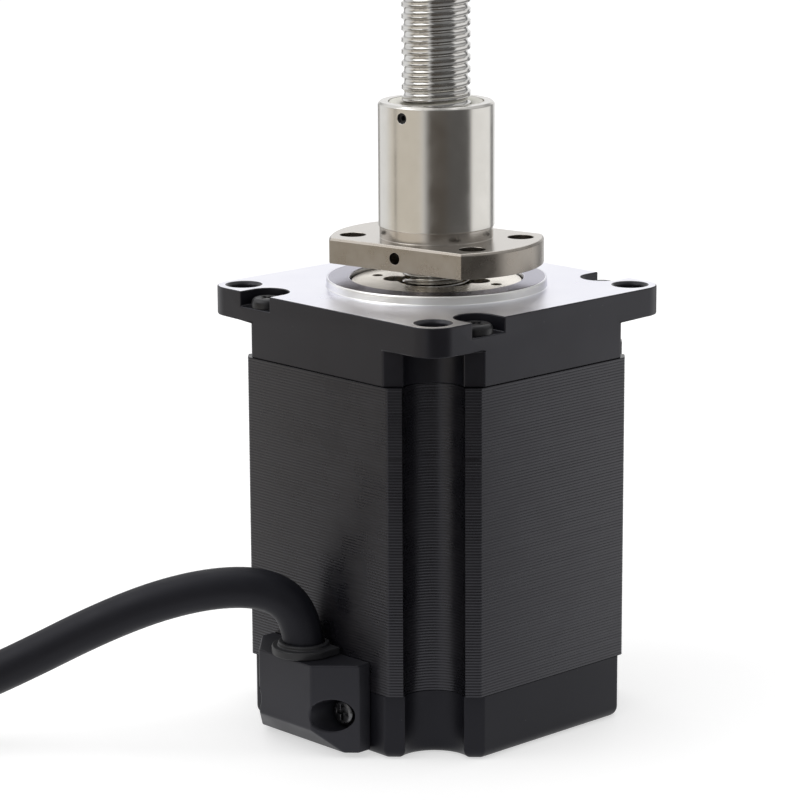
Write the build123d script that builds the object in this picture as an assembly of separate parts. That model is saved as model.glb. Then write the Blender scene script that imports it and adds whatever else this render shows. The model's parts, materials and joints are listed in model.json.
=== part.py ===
from build123d import *
import math
import os

# Stepper motor with a ball screw and a flanged ball nut.
# Millimetres. The origin is the centre of the front mounting face, +Z runs along the screw,
# and the motor body hangs below. The cable cover is on the -Y side.

# Motor frame
frame_side = 56.4
flange_thickness = 5.0
flange_corner_radius = 4.7
bolt_in_from_side = 4.63
bolt_hole_radius = 2.6
bolt_rim_chamfer = 0.5
pilot_radius = 19.05
pilot_height = 1.5
pilot_chamfer = 0.2
recess_radius = 15.0
skirt_height = 6.2
corner_bevel = 11.8
scoop_radius = 5.3
edge_rounding = 0.8
core_step = 0.1
core_corner_bevel = 10.96
core_length = 53.0
rear_cap_height = 11.3
rear_edge_radius = 2.0
cavity_wall = 2.2
cavity_roof = 1.2
rear_cavity_depth = 4.8
hub_wall = 1.8
overcut = 1.0

# Through screws of the housing, beside the corners
tie_in_from_corner = 12.8
tie_in_from_side = 2.9
tie_radius = 1.45
tie_head_radius = 2.75
tie_head_height = 1.7
tie_head_rounding = 0.9
tie_depth_in_rear = 8.0
pocket_depth = 2.6
pocket_half_width = 3.7
drive_radius = 1.35
drive_width = 0.7
drive_depth = 1.1

# Bearings
bearing_bore = 7.5
bearing_outer = 14.0
bearing_width = 7.0
bearing_ball_radius = 1.985
bearing_ball_count = 11
bearing_race_wall = 2.1
bearing_play = 0.05
cage_half_wall = 0.6
cage_web = 1.0
cage_rise = 0.6
washer_height = 0.6
washer_width = 1.6

# Front ring, lock nut and hollow shaft
ring_gap = 0.3
ring_drop = 0.7
ring_plate = 1.2
ring_skirt_wall = 2.1
ring_screw_gap = 0.8
ring_slot_half_width = 2.3
ring_slot_reach = 9.3
ring_slot_angle = 37.0
ring_pin_hole_radius = 0.9
ring_pin_circle = 11.1
ring_pin_angle = 23.0
lock_nut_radius = 9.2
lock_nut_height = 2.4
lock_nut_notch = 1.0
lip_height = 1.0
lip_width = 1.6
shaft_shoulder_rise = 1.1
shaft_end_gap = 0.3
bond_gap = 0.03

# Rotor and stator
rotor_end_gap = 1.5
rotor_teeth = 50
rotor_tooth_depth = 0.8
rotor_tooth_share = 0.45
magnet_height = 2.4
magnet_sink = 1.82
air_gap = 0.13
pole_count = 8
pole_neck_width = 7.0
pole_tip_depth = 2.65
slot_depth = 6.4
back_iron = 4.6
slot_mouth = 1.8
stator_groove_width = 0.9
stator_groove_depth = 0.7
stator_groove_pitch = 7.5
grooves_per_pole = 5
bobbin_gap = 0.05
bobbin_wall = 0.5
bobbin_end_gap = 0.7
coil_margin = 0.25
coil_build = 2.5
coil_corner = 1.6
board_height = 1.0
board_hub_gap = 0.8
board_gap = 0.4

# Ball screw
lead = 2.0
land_radius = 5.9
ball_circle = 6.05
run_clearance = 0.1
screw_ball_radius = 0.6
groove_clearance = 0.03
thread_top = 140.0
thread_chamfer = 0.7
tail_radius = 5.0
journal_radius = 4.0
journal_length = 10.0
journal_chamfer = 0.5

# Ball nut
nut_base = 4.1
nut_length = 27.8
nut_radius = 10.0
nut_flange_radius = 18.5
nut_flange_thickness = 4.4
nut_flat_distance = 12.3
nut_flat_angle = -79.6
nut_hole_radius = 2.25
nut_hole_circle = 14.5
nut_hole_spread = 30.0
nut_bore_clearance = 0.25
nut_edge = 0.4
nut_flange_edge = 0.4
neck_height = 2.0
neck_drop = 0.2
oil_hole_radius = 1.0
set_hole_drop = 2.0
set_hole_radius = 0.9
wiper_radius = 8.2
wiper_height = 2.2
wiper_clearance = 0.15
wiper_seat_gap = 0.03
wiper_end_gap = 0.05
set_screw_sink = 0.5
set_screw_socket_share = 0.5
circuit_count = 3
grooves_per_circuit_count = 2
circuit_start = 8.0
circuit_arc = 290.0
circuit_ball_count = 18
return_half_length = 2.6
return_half_width = 1.5
return_depth = 2.8
return_angle = 105.0

# Cable cover, gland and cable
cover_centre = 0.7
cover_half_width = 12.3
cover_side_depth = 2.7
cover_facet = 5.7
cover_bottom_rise = 1.0
cover_height = 15.4
cover_bottom_bevel = 4.0
cover_wall = 1.7
cover_boss_wall = 0.85
cover_screw_offset = 9.0
cover_screw_height = 6.6
cover_recess_radius = 2.75
cover_boss_depth = 2.0
cover_screw_head_radius = 2.2
cover_screw_head_height = 1.5
cover_screw_head_rounding = 0.5
cover_screw_radius = 1.2
cover_screw_reach = 3.8
wire_slot_width = 9.0
wire_slot_height = 2.6
gland_offset = 3.9
gland_radius = 5.5
gland_height = 1.4
gland_collar_radius = 4.4
gland_collar_height = 0.7
gland_stem_radius = 3.85
gland_stem_depth = 1.7
gland_seat_depth = 1.1
gland_back_gap = 0.6
gland_wire_hole = 2.7
cable_radius = 3.5
cable_gap = 0.05
wire_count = 4
wire_radius = 0.55
wire_pitch = 1.3
wire_bend_radius = 1.65
wire_inward = 8.5
cable_heading = 226.66
corner_run_share = 0.45
cable_bend_distance = 64.0
cable_bend_angle = 24.8
cable_landing_distance = 11.5
coil_entry_distance = 46.8
coil_mean_radius = 39.0
coil_turn_pitch = 7.2
coil_turns = 1.28
coil_lead_gap = 0.5
curl_radius = 21.0
curl_angle = 110.0
sleeve_radius = 3.9
sleeve_length = 12.0
tip_wire_radius = 0.8
tip_wire_angles = [90.0, 105.0, 120.0, 135.0]
tip_wire_bends = [17.0, 15.0, 13.0, 11.0]
tip_wire_spacing = 1.75
ferrule_radius = 0.65
ferrule_length = 7.0

# Sizes and heights that follow
half_side = frame_side / 2
core_half_side = half_side + core_step
bolt_half = half_side - bolt_in_from_side
cavity_radius = half_side - cavity_wall
tie_along = half_side - tie_in_from_corner
tie_axis = half_side - tie_in_from_side
bearing_inner_land = bearing_bore + bearing_race_wall
bearing_outer_land = bearing_outer - bearing_race_wall
bearing_pitch = (bearing_inner_land + bearing_outer_land) / 2
hub_radius = bearing_outer + hub_wall
lip_inner = bearing_outer - lip_width
shaft_shoulder = bearing_bore + shaft_shoulder_rise
ring_bore = land_radius + ring_screw_gap
rotor_length = core_length - 2 * rotor_end_gap
slot_outer = half_side - back_iron
slot_inner = slot_outer - slot_depth
stator_bore = slot_inner - pole_tip_depth
rotor_radius = stator_bore - air_gap
magnet_radius = rotor_radius - magnet_sink
coil_near = slot_inner + coil_margin
coil_far = slot_outer - bobbin_end_gap
groove_radius = screw_ball_radius + groove_clearance
nut_bore = land_radius + nut_bore_clearance
nut_ball_circle = land_radius + run_clearance + screw_ball_radius
skirt_bottom = -flange_thickness - skirt_height
core_top = skirt_bottom
core_bottom = core_top - core_length
motor_bottom = core_bottom - rear_cap_height
core_middle = (core_top + core_bottom) / 2
front_bearing_bottom = skirt_bottom + lip_height
front_bearing_top = front_bearing_bottom + bearing_width
ring_top = pilot_height - ring_drop
front_roof = -flange_thickness - cavity_roof
rear_floor = core_bottom - rear_cavity_depth
rear_bearing_top = core_bottom - lip_height
rear_bearing_bottom = rear_bearing_top - bearing_width
rear_seat = rear_bearing_bottom - washer_height
shaft_top = front_bearing_top + lock_nut_height
shaft_bottom = rear_seat + shaft_end_gap
thread_bottom = shaft_top
rotor_top = core_middle + rotor_length / 2
rotor_bottom = core_middle - rotor_length / 2
nut_top = nut_base + nut_length
nut_flange_top = nut_base + nut_flange_thickness
cover_back = -core_half_side
cover_front = cover_back - cover_side_depth - cover_facet
cover_bottom = motor_bottom + cover_bottom_rise
cover_top = cover_bottom + cover_height
gland_top = cover_top + gland_height + gland_collar_height
gland_seat = cover_top - gland_seat_depth
gland_centre = Vector(cover_centre, cover_back - gland_offset, 0)
floor_line = motor_bottom + cable_radius
coil_outer_wall = coil_mean_radius + cable_radius
coil_lead_in = math.sqrt(coil_outer_wall ** 2 - (coil_mean_radius - cable_radius) ** 2) + coil_lead_gap
coil_inner_radius = coil_mean_radius - coil_turn_pitch * coil_turns

bottom_aligned = (Align.CENTER, Align.CENTER, Align.MIN)
top_aligned = (Align.CENTER, Align.CENTER, Align.MAX)


def disc(radius, low, high):
    """A solid cylinder about the screw axis between two heights."""
    return Pos(0, 0, low) * Cylinder(radius, high - low, align=bottom_aligned)


def ring(inner, outer, low, high):
    """A round sleeve about the screw axis between two heights."""
    return disc(outer, low, high) - disc(inner, low, high)


def block(width, depth, low, high):
    """A box centred on the screw axis in X and Y."""
    return Pos(0, 0, low) * Box(width, depth, high - low, align=bottom_aligned)


def quarter_turns(shape):
    """The shape and its three copies a quarter turn apart about the screw axis."""
    return [Rot(0, 0, 90 * i) * shape for i in range(4)]


def body_section(half, bevel, depth_low, depth_high):
    """The square body with bevelled corners, scooped out round each mounting hole."""
    outline = chamfer(Rectangle(2 * half, 2 * half).vertices(), bevel)
    outline = fillet(outline.vertices(), edge_rounding)
    body = Pos(0, 0, depth_low) * extrude(outline, depth_high - depth_low)
    scoop = Pos(bolt_half, bolt_half, depth_low) * Cylinder(
        scoop_radius, depth_high - depth_low, align=bottom_aligned
    )
    for cut in quarter_turns(scoop):
        body -= cut
    return body


def tie_positions():
    """Axes of the four housing screws, one beside each corner."""
    return quarter_turns(Pos(tie_along, tie_axis, 0))


def keep(name, shape):
    """Write one node, as a single solid or as a compound of its solids."""
    solids = shape if isinstance(shape, list) else [shape]
    solids = [solid for item in solids for solid in item.solids()]
    written = solids[0] if len(solids) == 1 else Compound(children=solids)
    export_step(written, f"parts/{name}.step")


def screw_recess(radius, width, depth, top):
    """A cross recess cut down from the top of a screw head."""
    bar = Pos(0, 0, top - depth) * Box(2 * radius, width, depth, align=bottom_aligned)
    return bar + Rot(0, 0, 90) * bar


def front_end_cap():
    flange = extrude(RectangleRounded(frame_side, frame_side, flange_corner_radius), -flange_thickness)
    pilot = disc(pilot_radius, 0, pilot_height)
    pilot = chamfer(pilot.edges().group_by(Axis.Z)[-1], pilot_chamfer)
    skirt = body_section(half_side, corner_bevel, skirt_bottom, -flange_thickness)
    cavity = ring(hub_radius, cavity_radius, skirt_bottom, front_roof)
    cap = flange + pilot + skirt - cavity
    cap -= disc(recess_radius, front_bearing_top, pilot_height)
    cap -= disc(bearing_outer + bond_gap, front_bearing_bottom, front_bearing_top)
    cap -= disc(lip_inner, skirt_bottom, front_bearing_bottom)
    bolt_hole = Pos(bolt_half, bolt_half, 0) * (
        Cylinder(bolt_hole_radius, flange_thickness, align=top_aligned)
        + Cone(
            bolt_hole_radius,
            bolt_hole_radius + bolt_rim_chamfer,
            bolt_rim_chamfer,
            align=top_aligned,
        )
    )
    pocket_circle = Pos(tie_along, tie_axis, 0) * Cylinder(pocket_half_width, pocket_depth, align=top_aligned)
    pocket_mouth = Pos(tie_along, tie_axis, 0) * Box(
        2 * pocket_half_width,
        2 * tie_in_from_side,
        pocket_depth,
        align=(Align.CENTER, Align.MIN, Align.MAX),
    )
    tie_hole = Pos(tie_along, tie_axis, 0) * Cylinder(tie_radius + bond_gap, -skirt_bottom, align=top_aligned)
    for cut in (bolt_hole, pocket_circle, pocket_mouth, tie_hole):
        for copy in quarter_turns(cut):
            cap -= copy
    return cap


def rear_end_cap():
    cap = body_section(half_side, corner_bevel, motor_bottom, core_bottom)
    cap = fillet(cap.edges().group_by(Axis.Z)[0], rear_edge_radius)
    cap -= ring(hub_radius, cavity_radius, rear_floor, core_bottom)
    cap -= disc(bearing_outer + bond_gap, rear_seat, rear_bearing_top)
    cap -= disc(hub_radius, rear_bearing_top, core_bottom)
    tie_hole = Pos(tie_along, tie_axis, core_bottom) * Cylinder(
        tie_radius + bond_gap, tie_depth_in_rear, align=top_aligned
    )
    for copy in quarter_turns(tie_hole):
        cap -= copy
    cap -= Pos(cover_centre, -cavity_radius + overcut, rear_floor) * Box(
        wire_slot_width, 2 * rear_cap_height, wire_slot_height, align=(Align.CENTER, Align.MAX, Align.MIN)
    )
    for axis in cover_screw_axes():
        cap -= axis * Cylinder(cover_screw_radius + bond_gap, 2 * cover_screw_reach)
    return cap


def cover_screw_axes():
    """Places on the motor's side where the two cover screws enter, with +Z pointing outward."""
    height = cover_bottom + cover_screw_height
    return [
        Pos(cover_centre + side * cover_screw_offset, cover_back, height) * Rot(90, 0, 0)
        for side in (-1, 1)
    ]


def housing_screws():
    shank_end = core_bottom - tie_depth_in_rear
    screws = []
    for place in tie_positions():
        head_bottom = -pocket_depth
        head_top = head_bottom + tie_head_height
        head = Pos(0, 0, head_bottom) * Cylinder(tie_head_radius, tie_head_height, align=bottom_aligned)
        head = fillet(head.edges().group_by(Axis.Z)[-1], tie_head_rounding)
        head -= screw_recess(drive_radius, drive_width, drive_depth, head_top)
        shank = Pos(0, 0, shank_end) * Cylinder(tie_radius, head_bottom - shank_end, align=bottom_aligned)
        screws.append(place * (head + shank))
    return screws


def bearing(top):
    """Inner ring, outer ring, balls and crown cage of one deep-groove bearing."""
    bottom = top - bearing_width
    middle = (top + bottom) / 2
    race = Pos(0, 0, middle) * Torus(bearing_pitch, bearing_ball_radius + bearing_play)
    inner = ring(bearing_bore + bond_gap, bearing_inner_land, bottom, top) - race
    outer = ring(bearing_outer_land, bearing_outer, bottom, top) - race
    balls = []
    cage = ring(
        bearing_pitch - cage_half_wall,
        bearing_pitch + cage_half_wall,
        middle - bearing_ball_radius - cage_web,
        middle + cage_rise,
    )
    for i in range(bearing_ball_count):
        place = Rot(0, 0, 360 * i / bearing_ball_count) * Pos(bearing_pitch, 0, middle)
        balls.append(place * Sphere(bearing_ball_radius))
        cage -= place * Sphere(bearing_ball_radius + bearing_play)
    return inner, outer, balls, cage


def preload_wave_washer():
    outer = bearing_outer - bearing_play
    return ring(outer - washer_width, outer, rear_seat, rear_bearing_bottom)


def front_retainer_ring():
    outer = recess_radius - ring_gap
    plate = disc(outer, ring_top - ring_plate, ring_top)
    skirt = ring(outer - ring_skirt_wall, outer, front_bearing_top, ring_top - ring_plate)
    body = plate + skirt - disc(ring_bore, front_bearing_top, ring_top)
    slot = Rot(0, 0, ring_slot_angle) * SlotOverall(2 * ring_slot_reach, 2 * ring_slot_half_width)
    body -= Pos(0, 0, ring_top - ring_plate) * extrude(slot, ring_plate)
    for angle in (ring_pin_angle, ring_pin_angle + 180):
        body -= Rot(0, 0, angle) * Pos(ring_pin_circle, 0, ring_top) * Cylinder(
            ring_pin_hole_radius, ring_plate, align=top_aligned
        )
    return body


def screw_lock_nut():
    nut = ring(bearing_bore + bond_gap, lock_nut_radius, front_bearing_top, shaft_top)
    notch = Pos(lock_nut_radius, 0, front_bearing_top) * Box(
        2 * lock_nut_notch, 2 * lock_nut_notch, lock_nut_height, align=bottom_aligned
    )
    for cut in quarter_turns(notch):
        nut -= Rot(0, 0, ring_slot_angle + 45) * cut
    return nut


def hollow_shaft():
    shaft = disc(bearing_bore, shaft_bottom, shaft_top)
    shaft += disc(shaft_shoulder, rear_bearing_top, front_bearing_bottom)
    return shaft - disc(tail_radius + bond_gap, shaft_bottom, shaft_top)


def toothed_profile(radius, depth, count, share):
    """A round outline with straight-sided teeth."""
    points = []
    for i in range(count):
        middle = 2 * math.pi * i / count
        half = math.pi * share / count
        root = radius - depth
        for r, a in (
            (root, middle - half),
            (radius, middle - half),
            (radius, middle + half),
            (root, middle + half),
        ):
            points.append((r * math.cos(a), r * math.sin(a)))
    return Face(Polyline(*points, close=True))


def rotor_cup(low, high, turn):
    profile = toothed_profile(rotor_radius, rotor_tooth_depth, rotor_teeth, rotor_tooth_share)
    cup = Rot(0, 0, turn) * Pos(0, 0, low) * extrude(profile, high - low, dir=(0, 0, 1))
    return cup - disc(shaft_shoulder + bond_gap, low, high)


def stator_core():
    core = body_section(core_half_side, core_corner_bevel, core_bottom, core_top)
    core -= disc(stator_bore, core_bottom, core_top)
    slots = ring(slot_inner, slot_outer, core_bottom, core_top)
    mouth_length = slot_inner - stator_bore + 2 * overcut
    for i in range(pole_count):
        turn = Rot(0, 0, 360 * i / pole_count)
        slots -= turn * Pos(slot_outer / 2, 0, 0) * block(
            slot_outer + 2 * overcut, pole_neck_width, core_bottom, core_top
        )
    core -= slots
    for i in range(pole_count):
        turn = Rot(0, 0, 360 * (i + 0.5) / pole_count)
        core -= turn * Pos(stator_bore - overcut + mouth_length / 2, 0, 0) * block(
            mouth_length, slot_mouth, core_bottom, core_top
        )
        for j in range(grooves_per_pole):
            angle = 360 * i / pole_count + (j - (grooves_per_pole - 1) / 2) * stator_groove_pitch
            core -= Rot(0, 0, angle) * Pos(stator_bore, 0, 0) * block(
                2 * stator_groove_depth, stator_groove_width, core_bottom, core_top
            )
    tie_hole = Pos(tie_along, tie_axis, core_bottom) * Cylinder(
        tie_radius + bond_gap, core_length, align=bottom_aligned
    )
    for copy in quarter_turns(tie_hole):
        core -= copy
    return core


def pole_frame(inner_half, wall, end_gap, near, far, corner):
    """A rectangular frame round one pole neck, seen from the rotor axis."""
    half_height = core_length / 2 + end_gap
    outer = Rectangle(2 * (inner_half + wall), 2 * (half_height + wall))
    if corner > 0:
        outer = fillet(outer.vertices(), corner)
    section = outer - Rectangle(2 * inner_half, 2 * half_height)
    frame = extrude(section, far - near)
    return Plane(origin=(near, 0, core_middle), x_dir=(0, 1, 0), z_dir=(1, 0, 0)) * frame


def around_poles(shape):
    return [Rot(0, 0, 360 * i / pole_count) * shape for i in range(pole_count)]


def winding_bobbins():
    half = pole_neck_width / 2 + bobbin_gap
    return around_poles(pole_frame(half, bobbin_wall, bobbin_gap, coil_near, coil_far, 0))


def phase_windings():
    gap = 2 * bobbin_gap + bobbin_wall
    half = pole_neck_width / 2 + gap
    near = coil_near + coil_margin
    far = coil_far - 2 * coil_margin
    return around_poles(pole_frame(half, coil_build, gap, near, far, coil_corner))


def winding_terminal_board():
    inner = hub_radius + board_hub_gap
    return ring(inner, cavity_radius - board_gap, rear_floor, rear_floor + board_height)


def groove_heights(low, high):
    """Middles of the grooves that fit whole between two heights, one per lead."""
    first = math.ceil((low + lead / 2 - thread_bottom) / lead - 0.5)
    last = math.floor((high - lead / 2 - thread_bottom) / lead - 0.5)
    return [thread_bottom + (i + 0.5) * lead for i in range(first, last + 1)]


def grooved_rod(radius, circle, groove, low, high, end_chamfer, sign):
    """A round rod with ball grooves, sunk into it (sign -1) or raised from it (sign +1)."""
    half = math.sqrt(groove ** 2 - (circle - radius) ** 2)
    tip = circle + sign * groove
    here = (radius, 0, low)
    edges = [Line((0, 0, low), here)]
    for height in groove_heights(low + end_chamfer, high - end_chamfer):
        start = (radius, 0, height - half)
        finish = (radius, 0, height + half)
        edges.append(Line(here, start))
        edges.append(ThreePointArc(start, (tip, 0, height), finish))
        here = finish
    edges.append(Line(here, (radius, 0, high - end_chamfer)))
    if end_chamfer > 0:
        edges.append(Line((radius, 0, high - end_chamfer), (radius - end_chamfer, 0, high)))
    edges.append(Line((radius - end_chamfer, 0, high), (0, 0, high)))
    edges.append(Line((0, 0, high), (0, 0, low)))
    section = Face(Wire([edge.edge() for edge in edges]))
    return revolve(section, axis=Axis.Z)


def ball_screw():
    thread = grooved_rod(
        land_radius, ball_circle, groove_radius, thread_bottom, thread_top, thread_chamfer, -1
    )
    tail = disc(tail_radius, shaft_bottom, thread_bottom)
    journal = disc(journal_radius, thread_top, thread_top + journal_length)
    journal = chamfer(journal.edges().group_by(Axis.Z)[-1], journal_chamfer)
    return thread + tail + journal


def circuit_heights():
    """Heights of the loaded ball circuits: every other groove from the first."""
    grooves = groove_heights(nut_base + circuit_start, nut_top)
    return [grooves[i * grooves_per_circuit_count] for i in range(circuit_count)]


def return_places():
    """One ball return per circuit, on the side of the nut away from the oil hole."""
    return [Pos(0, 0, height) * Rot(0, 0, return_angle) for height in circuit_heights()]


def return_plug(slack):
    """An oval insert seen along the nut's radius."""
    oval = SlotOverall(2 * (return_half_length + slack), 2 * (return_half_width + slack))
    return Pos(nut_radius - return_depth, 0, 0) * Rot(0, 90, 0) * Rot(0, 0, 90) * extrude(oval, return_depth)


def ball_nut():
    flange = disc(nut_flange_radius, nut_base, nut_flange_top)
    flange &= Rot(0, 0, nut_flat_angle) * block(
        2 * nut_flat_distance, 4 * nut_flange_radius, nut_base, nut_flange_top
    )
    flange = chamfer(flange.edges().group_by(Axis.Z)[-1], nut_flange_edge)
    neck = disc(nut_radius - neck_drop, nut_base, nut_flange_top + neck_height)
    body = disc(nut_radius, nut_flange_top + neck_height, nut_top)
    body = chamfer(body.edges().group_by(Axis.Z)[-1], nut_edge)
    nut = flange + neck + body
    nut -= disc(nut_bore, nut_base, nut_top)
    nut -= disc(wiper_radius, nut_base, nut_base + wiper_height)
    nut -= disc(wiper_radius, nut_top - wiper_height, nut_top)
    nut -= grooved_rod(
        nut_bore, nut_ball_circle, groove_radius, nut_base + wiper_height, nut_top - wiper_height, 0, 1
    )
    for side in (-1, 1):
        for end in (0, 180):
            angle = nut_flat_angle + 90 + end + side * nut_hole_spread
            nut -= Rot(0, 0, angle) * Pos(nut_hole_circle, 0, nut_base) * Cylinder(
                nut_hole_radius, nut_flange_thickness, align=bottom_aligned
            )
    outward = Rot(0, 0, nut_flat_angle) * Rot(0, 90, 0)
    oil_height = nut_base + nut_flange_thickness / 2
    nut -= Pos(0, 0, oil_height) * outward * Pos(0, 0, wiper_radius - overcut) * Cylinder(
        oil_hole_radius, nut_flange_radius, align=bottom_aligned
    )
    nut -= Pos(0, 0, nut_top - set_hole_drop) * outward * Pos(0, 0, wiper_radius - overcut) * Cylinder(
        set_hole_radius, nut_radius, align=bottom_aligned
    )
    for place in return_places():
        nut -= place * return_plug(bond_gap)
    return nut


def ball_returns():
    limit = disc(nut_radius, nut_base, nut_top)
    return [(place * return_plug(0)) & limit for place in return_places()]


def nut_balls():
    balls = []
    first = return_angle + (360 - circuit_arc) / 2
    for height in circuit_heights():
        for j in range(circuit_ball_count):
            angle = first + circuit_arc * j / (circuit_ball_count - 1)
            balls.append(Rot(0, 0, angle) * Pos(nut_ball_circle, 0, height) * Sphere(screw_ball_radius))
    return balls


def nut_wiper(low):
    """A wiper ring in the counterbore that starts at this height."""
    return ring(
        land_radius + wiper_clearance,
        wiper_radius - wiper_seat_gap,
        low + wiper_end_gap,
        low + wiper_height - wiper_end_gap,
    )


def wiper_set_screw():
    outward = Rot(0, 0, nut_flat_angle) * Rot(0, 90, 0)
    length = nut_radius - wiper_radius - set_screw_sink
    screw = Cylinder(set_hole_radius - bond_gap, length, align=bottom_aligned)
    socket = Pos(0, 0, length) * Cylinder(
        set_hole_radius * set_screw_socket_share, length * set_screw_socket_share, align=top_aligned
    )
    return Pos(0, 0, nut_top - set_hole_drop) * outward * Pos(0, 0, wiper_radius) * (screw - socket)


def cover_outline():
    """The cover seen from above: a back edge, short sides, two facets and a front."""
    side = cover_back - cover_side_depth
    narrow = cover_half_width - cover_facet
    points = [
        (cover_centre - cover_half_width, cover_back),
        (cover_centre - cover_half_width, side),
        (cover_centre - narrow, cover_front),
        (cover_centre + narrow, cover_front),
        (cover_centre + cover_half_width, side),
        (cover_centre + cover_half_width, cover_back),
    ]
    return Face(Polyline(*points, close=True))


def side_prism(points, low_x, high_x):
    """A prism along X whose outline is given as (Y, Z) points."""
    outline = Face(Polyline(*[(0, y, z) for y, z in points], close=True))
    return Pos(low_x, 0, 0) * extrude(outline, high_x - low_x, dir=(1, 0, 0))


def cable_cover():
    cover = Pos(0, 0, cover_bottom) * extrude(cover_outline(), cover_height, dir=(0, 0, 1))
    bevel = [
        (cover_front, cover_bottom),
        (cover_front + cover_bottom_bevel, cover_bottom),
        (cover_front, cover_bottom + cover_bottom_bevel),
    ]
    cover -= side_prism(bevel, -frame_side, frame_side)
    hollow_half = cover_screw_offset - cover_recess_radius - cover_boss_wall
    cover -= Pos(cover_centre, cover_back, cover_bottom + cover_bottom_bevel) * Box(
        2 * hollow_half,
        cover_back - cover_front - cover_wall,
        cover_height - cover_wall - cover_bottom_bevel,
        align=(Align.CENTER, Align.MAX, Align.MIN),
    )
    cover -= Pos(gland_centre.X, gland_centre.Y, cover_top) * Cylinder(
        gland_stem_radius + bond_gap, cover_wall, align=top_aligned
    )
    for axis in cover_screw_axes():
        cover -= axis * Pos(0, 0, cover_boss_depth) * Cylinder(
            cover_recess_radius, 2 * cover_facet, align=bottom_aligned
        )
        cover -= axis * Cylinder(cover_screw_radius + bond_gap, 2 * cover_facet)
    return cover


def cable_cover_screws():
    screws = []
    for axis in cover_screw_axes():
        head = Pos(0, 0, cover_boss_depth) * Cylinder(
            cover_screw_head_radius, cover_screw_head_height, align=bottom_aligned
        )
        head = fillet(head.edges().group_by(Axis.Z)[-1], cover_screw_head_rounding)
        top = cover_boss_depth + cover_screw_head_height
        head -= screw_recess(drive_radius, drive_width, cover_screw_head_height / 2, top)
        shank = Pos(0, 0, -cover_screw_reach) * Cylinder(
            cover_screw_radius, cover_screw_reach + cover_boss_depth, align=bottom_aligned
        )
        screws.append(axis * (head + shank))
    return screws


def cable_gland():
    """Grommet with a flange that is flat toward the motor, a collar and a stepped stem."""
    x, y = gland_centre.X, gland_centre.Y
    back = cover_back - gland_back_gap
    flange = Pos(x, y, cover_top) * Cylinder(gland_radius, gland_height, align=bottom_aligned)
    flange += Pos(x, y, cover_top) * Box(
        2 * gland_radius, back - y, gland_height, align=(Align.CENTER, Align.MIN, Align.MIN)
    )
    collar = Pos(x, y, cover_top + gland_height) * Cylinder(
        gland_collar_radius, gland_collar_height, align=bottom_aligned
    )
    beyond = Pos(x, back, cover_top) * Box(
        4 * gland_radius, gland_radius, 2 * gland_radius, align=(Align.CENTER, Align.MIN, Align.MIN)
    )
    stem = Pos(x, y, cover_top) * Cylinder(gland_stem_radius, gland_stem_depth, align=top_aligned)
    gland = flange + collar - beyond + stem
    gland -= Pos(x, y, gland_seat) * Cylinder(
        cable_radius + cable_gap, gland_top - gland_seat, align=bottom_aligned
    )
    gland -= Pos(x, y, cover_top) * Cylinder(gland_wire_hole, gland_stem_depth, align=top_aligned)
    return gland


def cable_heading_vector():
    angle = math.radians(cable_heading)
    return Vector(math.cos(angle), math.sin(angle), 0)


def turned(vector, angle):
    c, s = math.cos(angle), math.sin(angle)
    return Vector(c * vector.X - s * vector.Y, s * vector.X + c * vector.Y, vector.Z)


def coil_heading_vector():
    """Direction in which the cable reaches the coil."""
    return turned(cable_heading_vector(), math.radians(cable_bend_angle))


def cable_bend():
    """The point of the free stretch above which it turns toward the coil, at floor level."""
    return gland_centre + cable_heading_vector() * cable_bend_distance + Vector(0, 0, floor_line)


def cable_route():
    """Route points of the free stretch: distance out from the gland and height, then the landing."""
    heading = cable_heading_vector()
    outward_and_height = [
        (0.0, gland_seat),
        (0.0, cover_top + 5.7),
        (5.1, cover_top + 10.9),
        (16.5, cover_top + 10.7),
        (31.0, cover_top + 6.1),
        (52.0, cover_top - 3.7),
        (cable_bend_distance, cover_top - 8.4),
    ]
    points = [gland_centre + heading * out + Vector(0, 0, height) for out, height in outward_and_height]
    return points + [cable_bend() + coil_heading_vector() * cable_landing_distance]


def coil_entry():
    """Where the cable becomes tangent to the outer turn."""
    return cable_bend() + coil_heading_vector() * coil_entry_distance


def motor_cable():
    points = cable_route() + [coil_entry() - coil_heading_vector() * coil_lead_in]
    radii = []
    for i in range(1, len(points) - 1):
        before = points[i] - points[i - 1]
        after = points[i + 1] - points[i]
        turn = math.radians(before.get_angle(after))
        shorter = min(before.length, after.length)
        radii.append(corner_run_share * shorter / math.tan(turn / 2))
    print("cable radii", [round(r, 1) for r in radii])
    path = FilletPolyline(*points, radius=radii)
    section = Plane(origin=points[0], z_dir=(0, 0, 1)) * Circle(cable_radius)
    tube = sweep(section, path=path)
    expected = math.pi * cable_radius ** 2 * path.length
    print("cable length", round(path.length, 1), "volume ratio", round(tube.volume / expected, 4))
    return tube


def coil_frame():
    """Centre of the coil and the direction from it to the point where the cable enters."""
    heading = coil_heading_vector()
    side = Vector(-heading.Y, heading.X, 0)
    centre = coil_entry() + side * coil_mean_radius
    return centre, side * -1


def coil_turning():
    """+1 where the coil turns counter-clockwise seen from above, else -1."""
    centre, out = coil_frame()
    heading = coil_heading_vector()
    return 1 if out.cross(heading).Z > 0 else -1


def curl():
    """The last stretch, which leaves the inner turn on a smaller circle inside the coil."""
    centre, out = coil_frame()
    way = coil_turning()
    turn_end = 2 * math.pi * coil_turns
    radial = turned(out, way * turn_end)
    curl_centre = centre + radial * (coil_inner_radius - curl_radius)
    return curl_centre, radial, way


def curl_end():
    """Place and heading at the end of the sheath."""
    curl_centre, radial, way = curl()
    direction = turned(radial, way * math.radians(curl_angle))
    tangent = turned(direction, way * math.pi / 2)
    return curl_centre + direction * curl_radius, tangent


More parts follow.
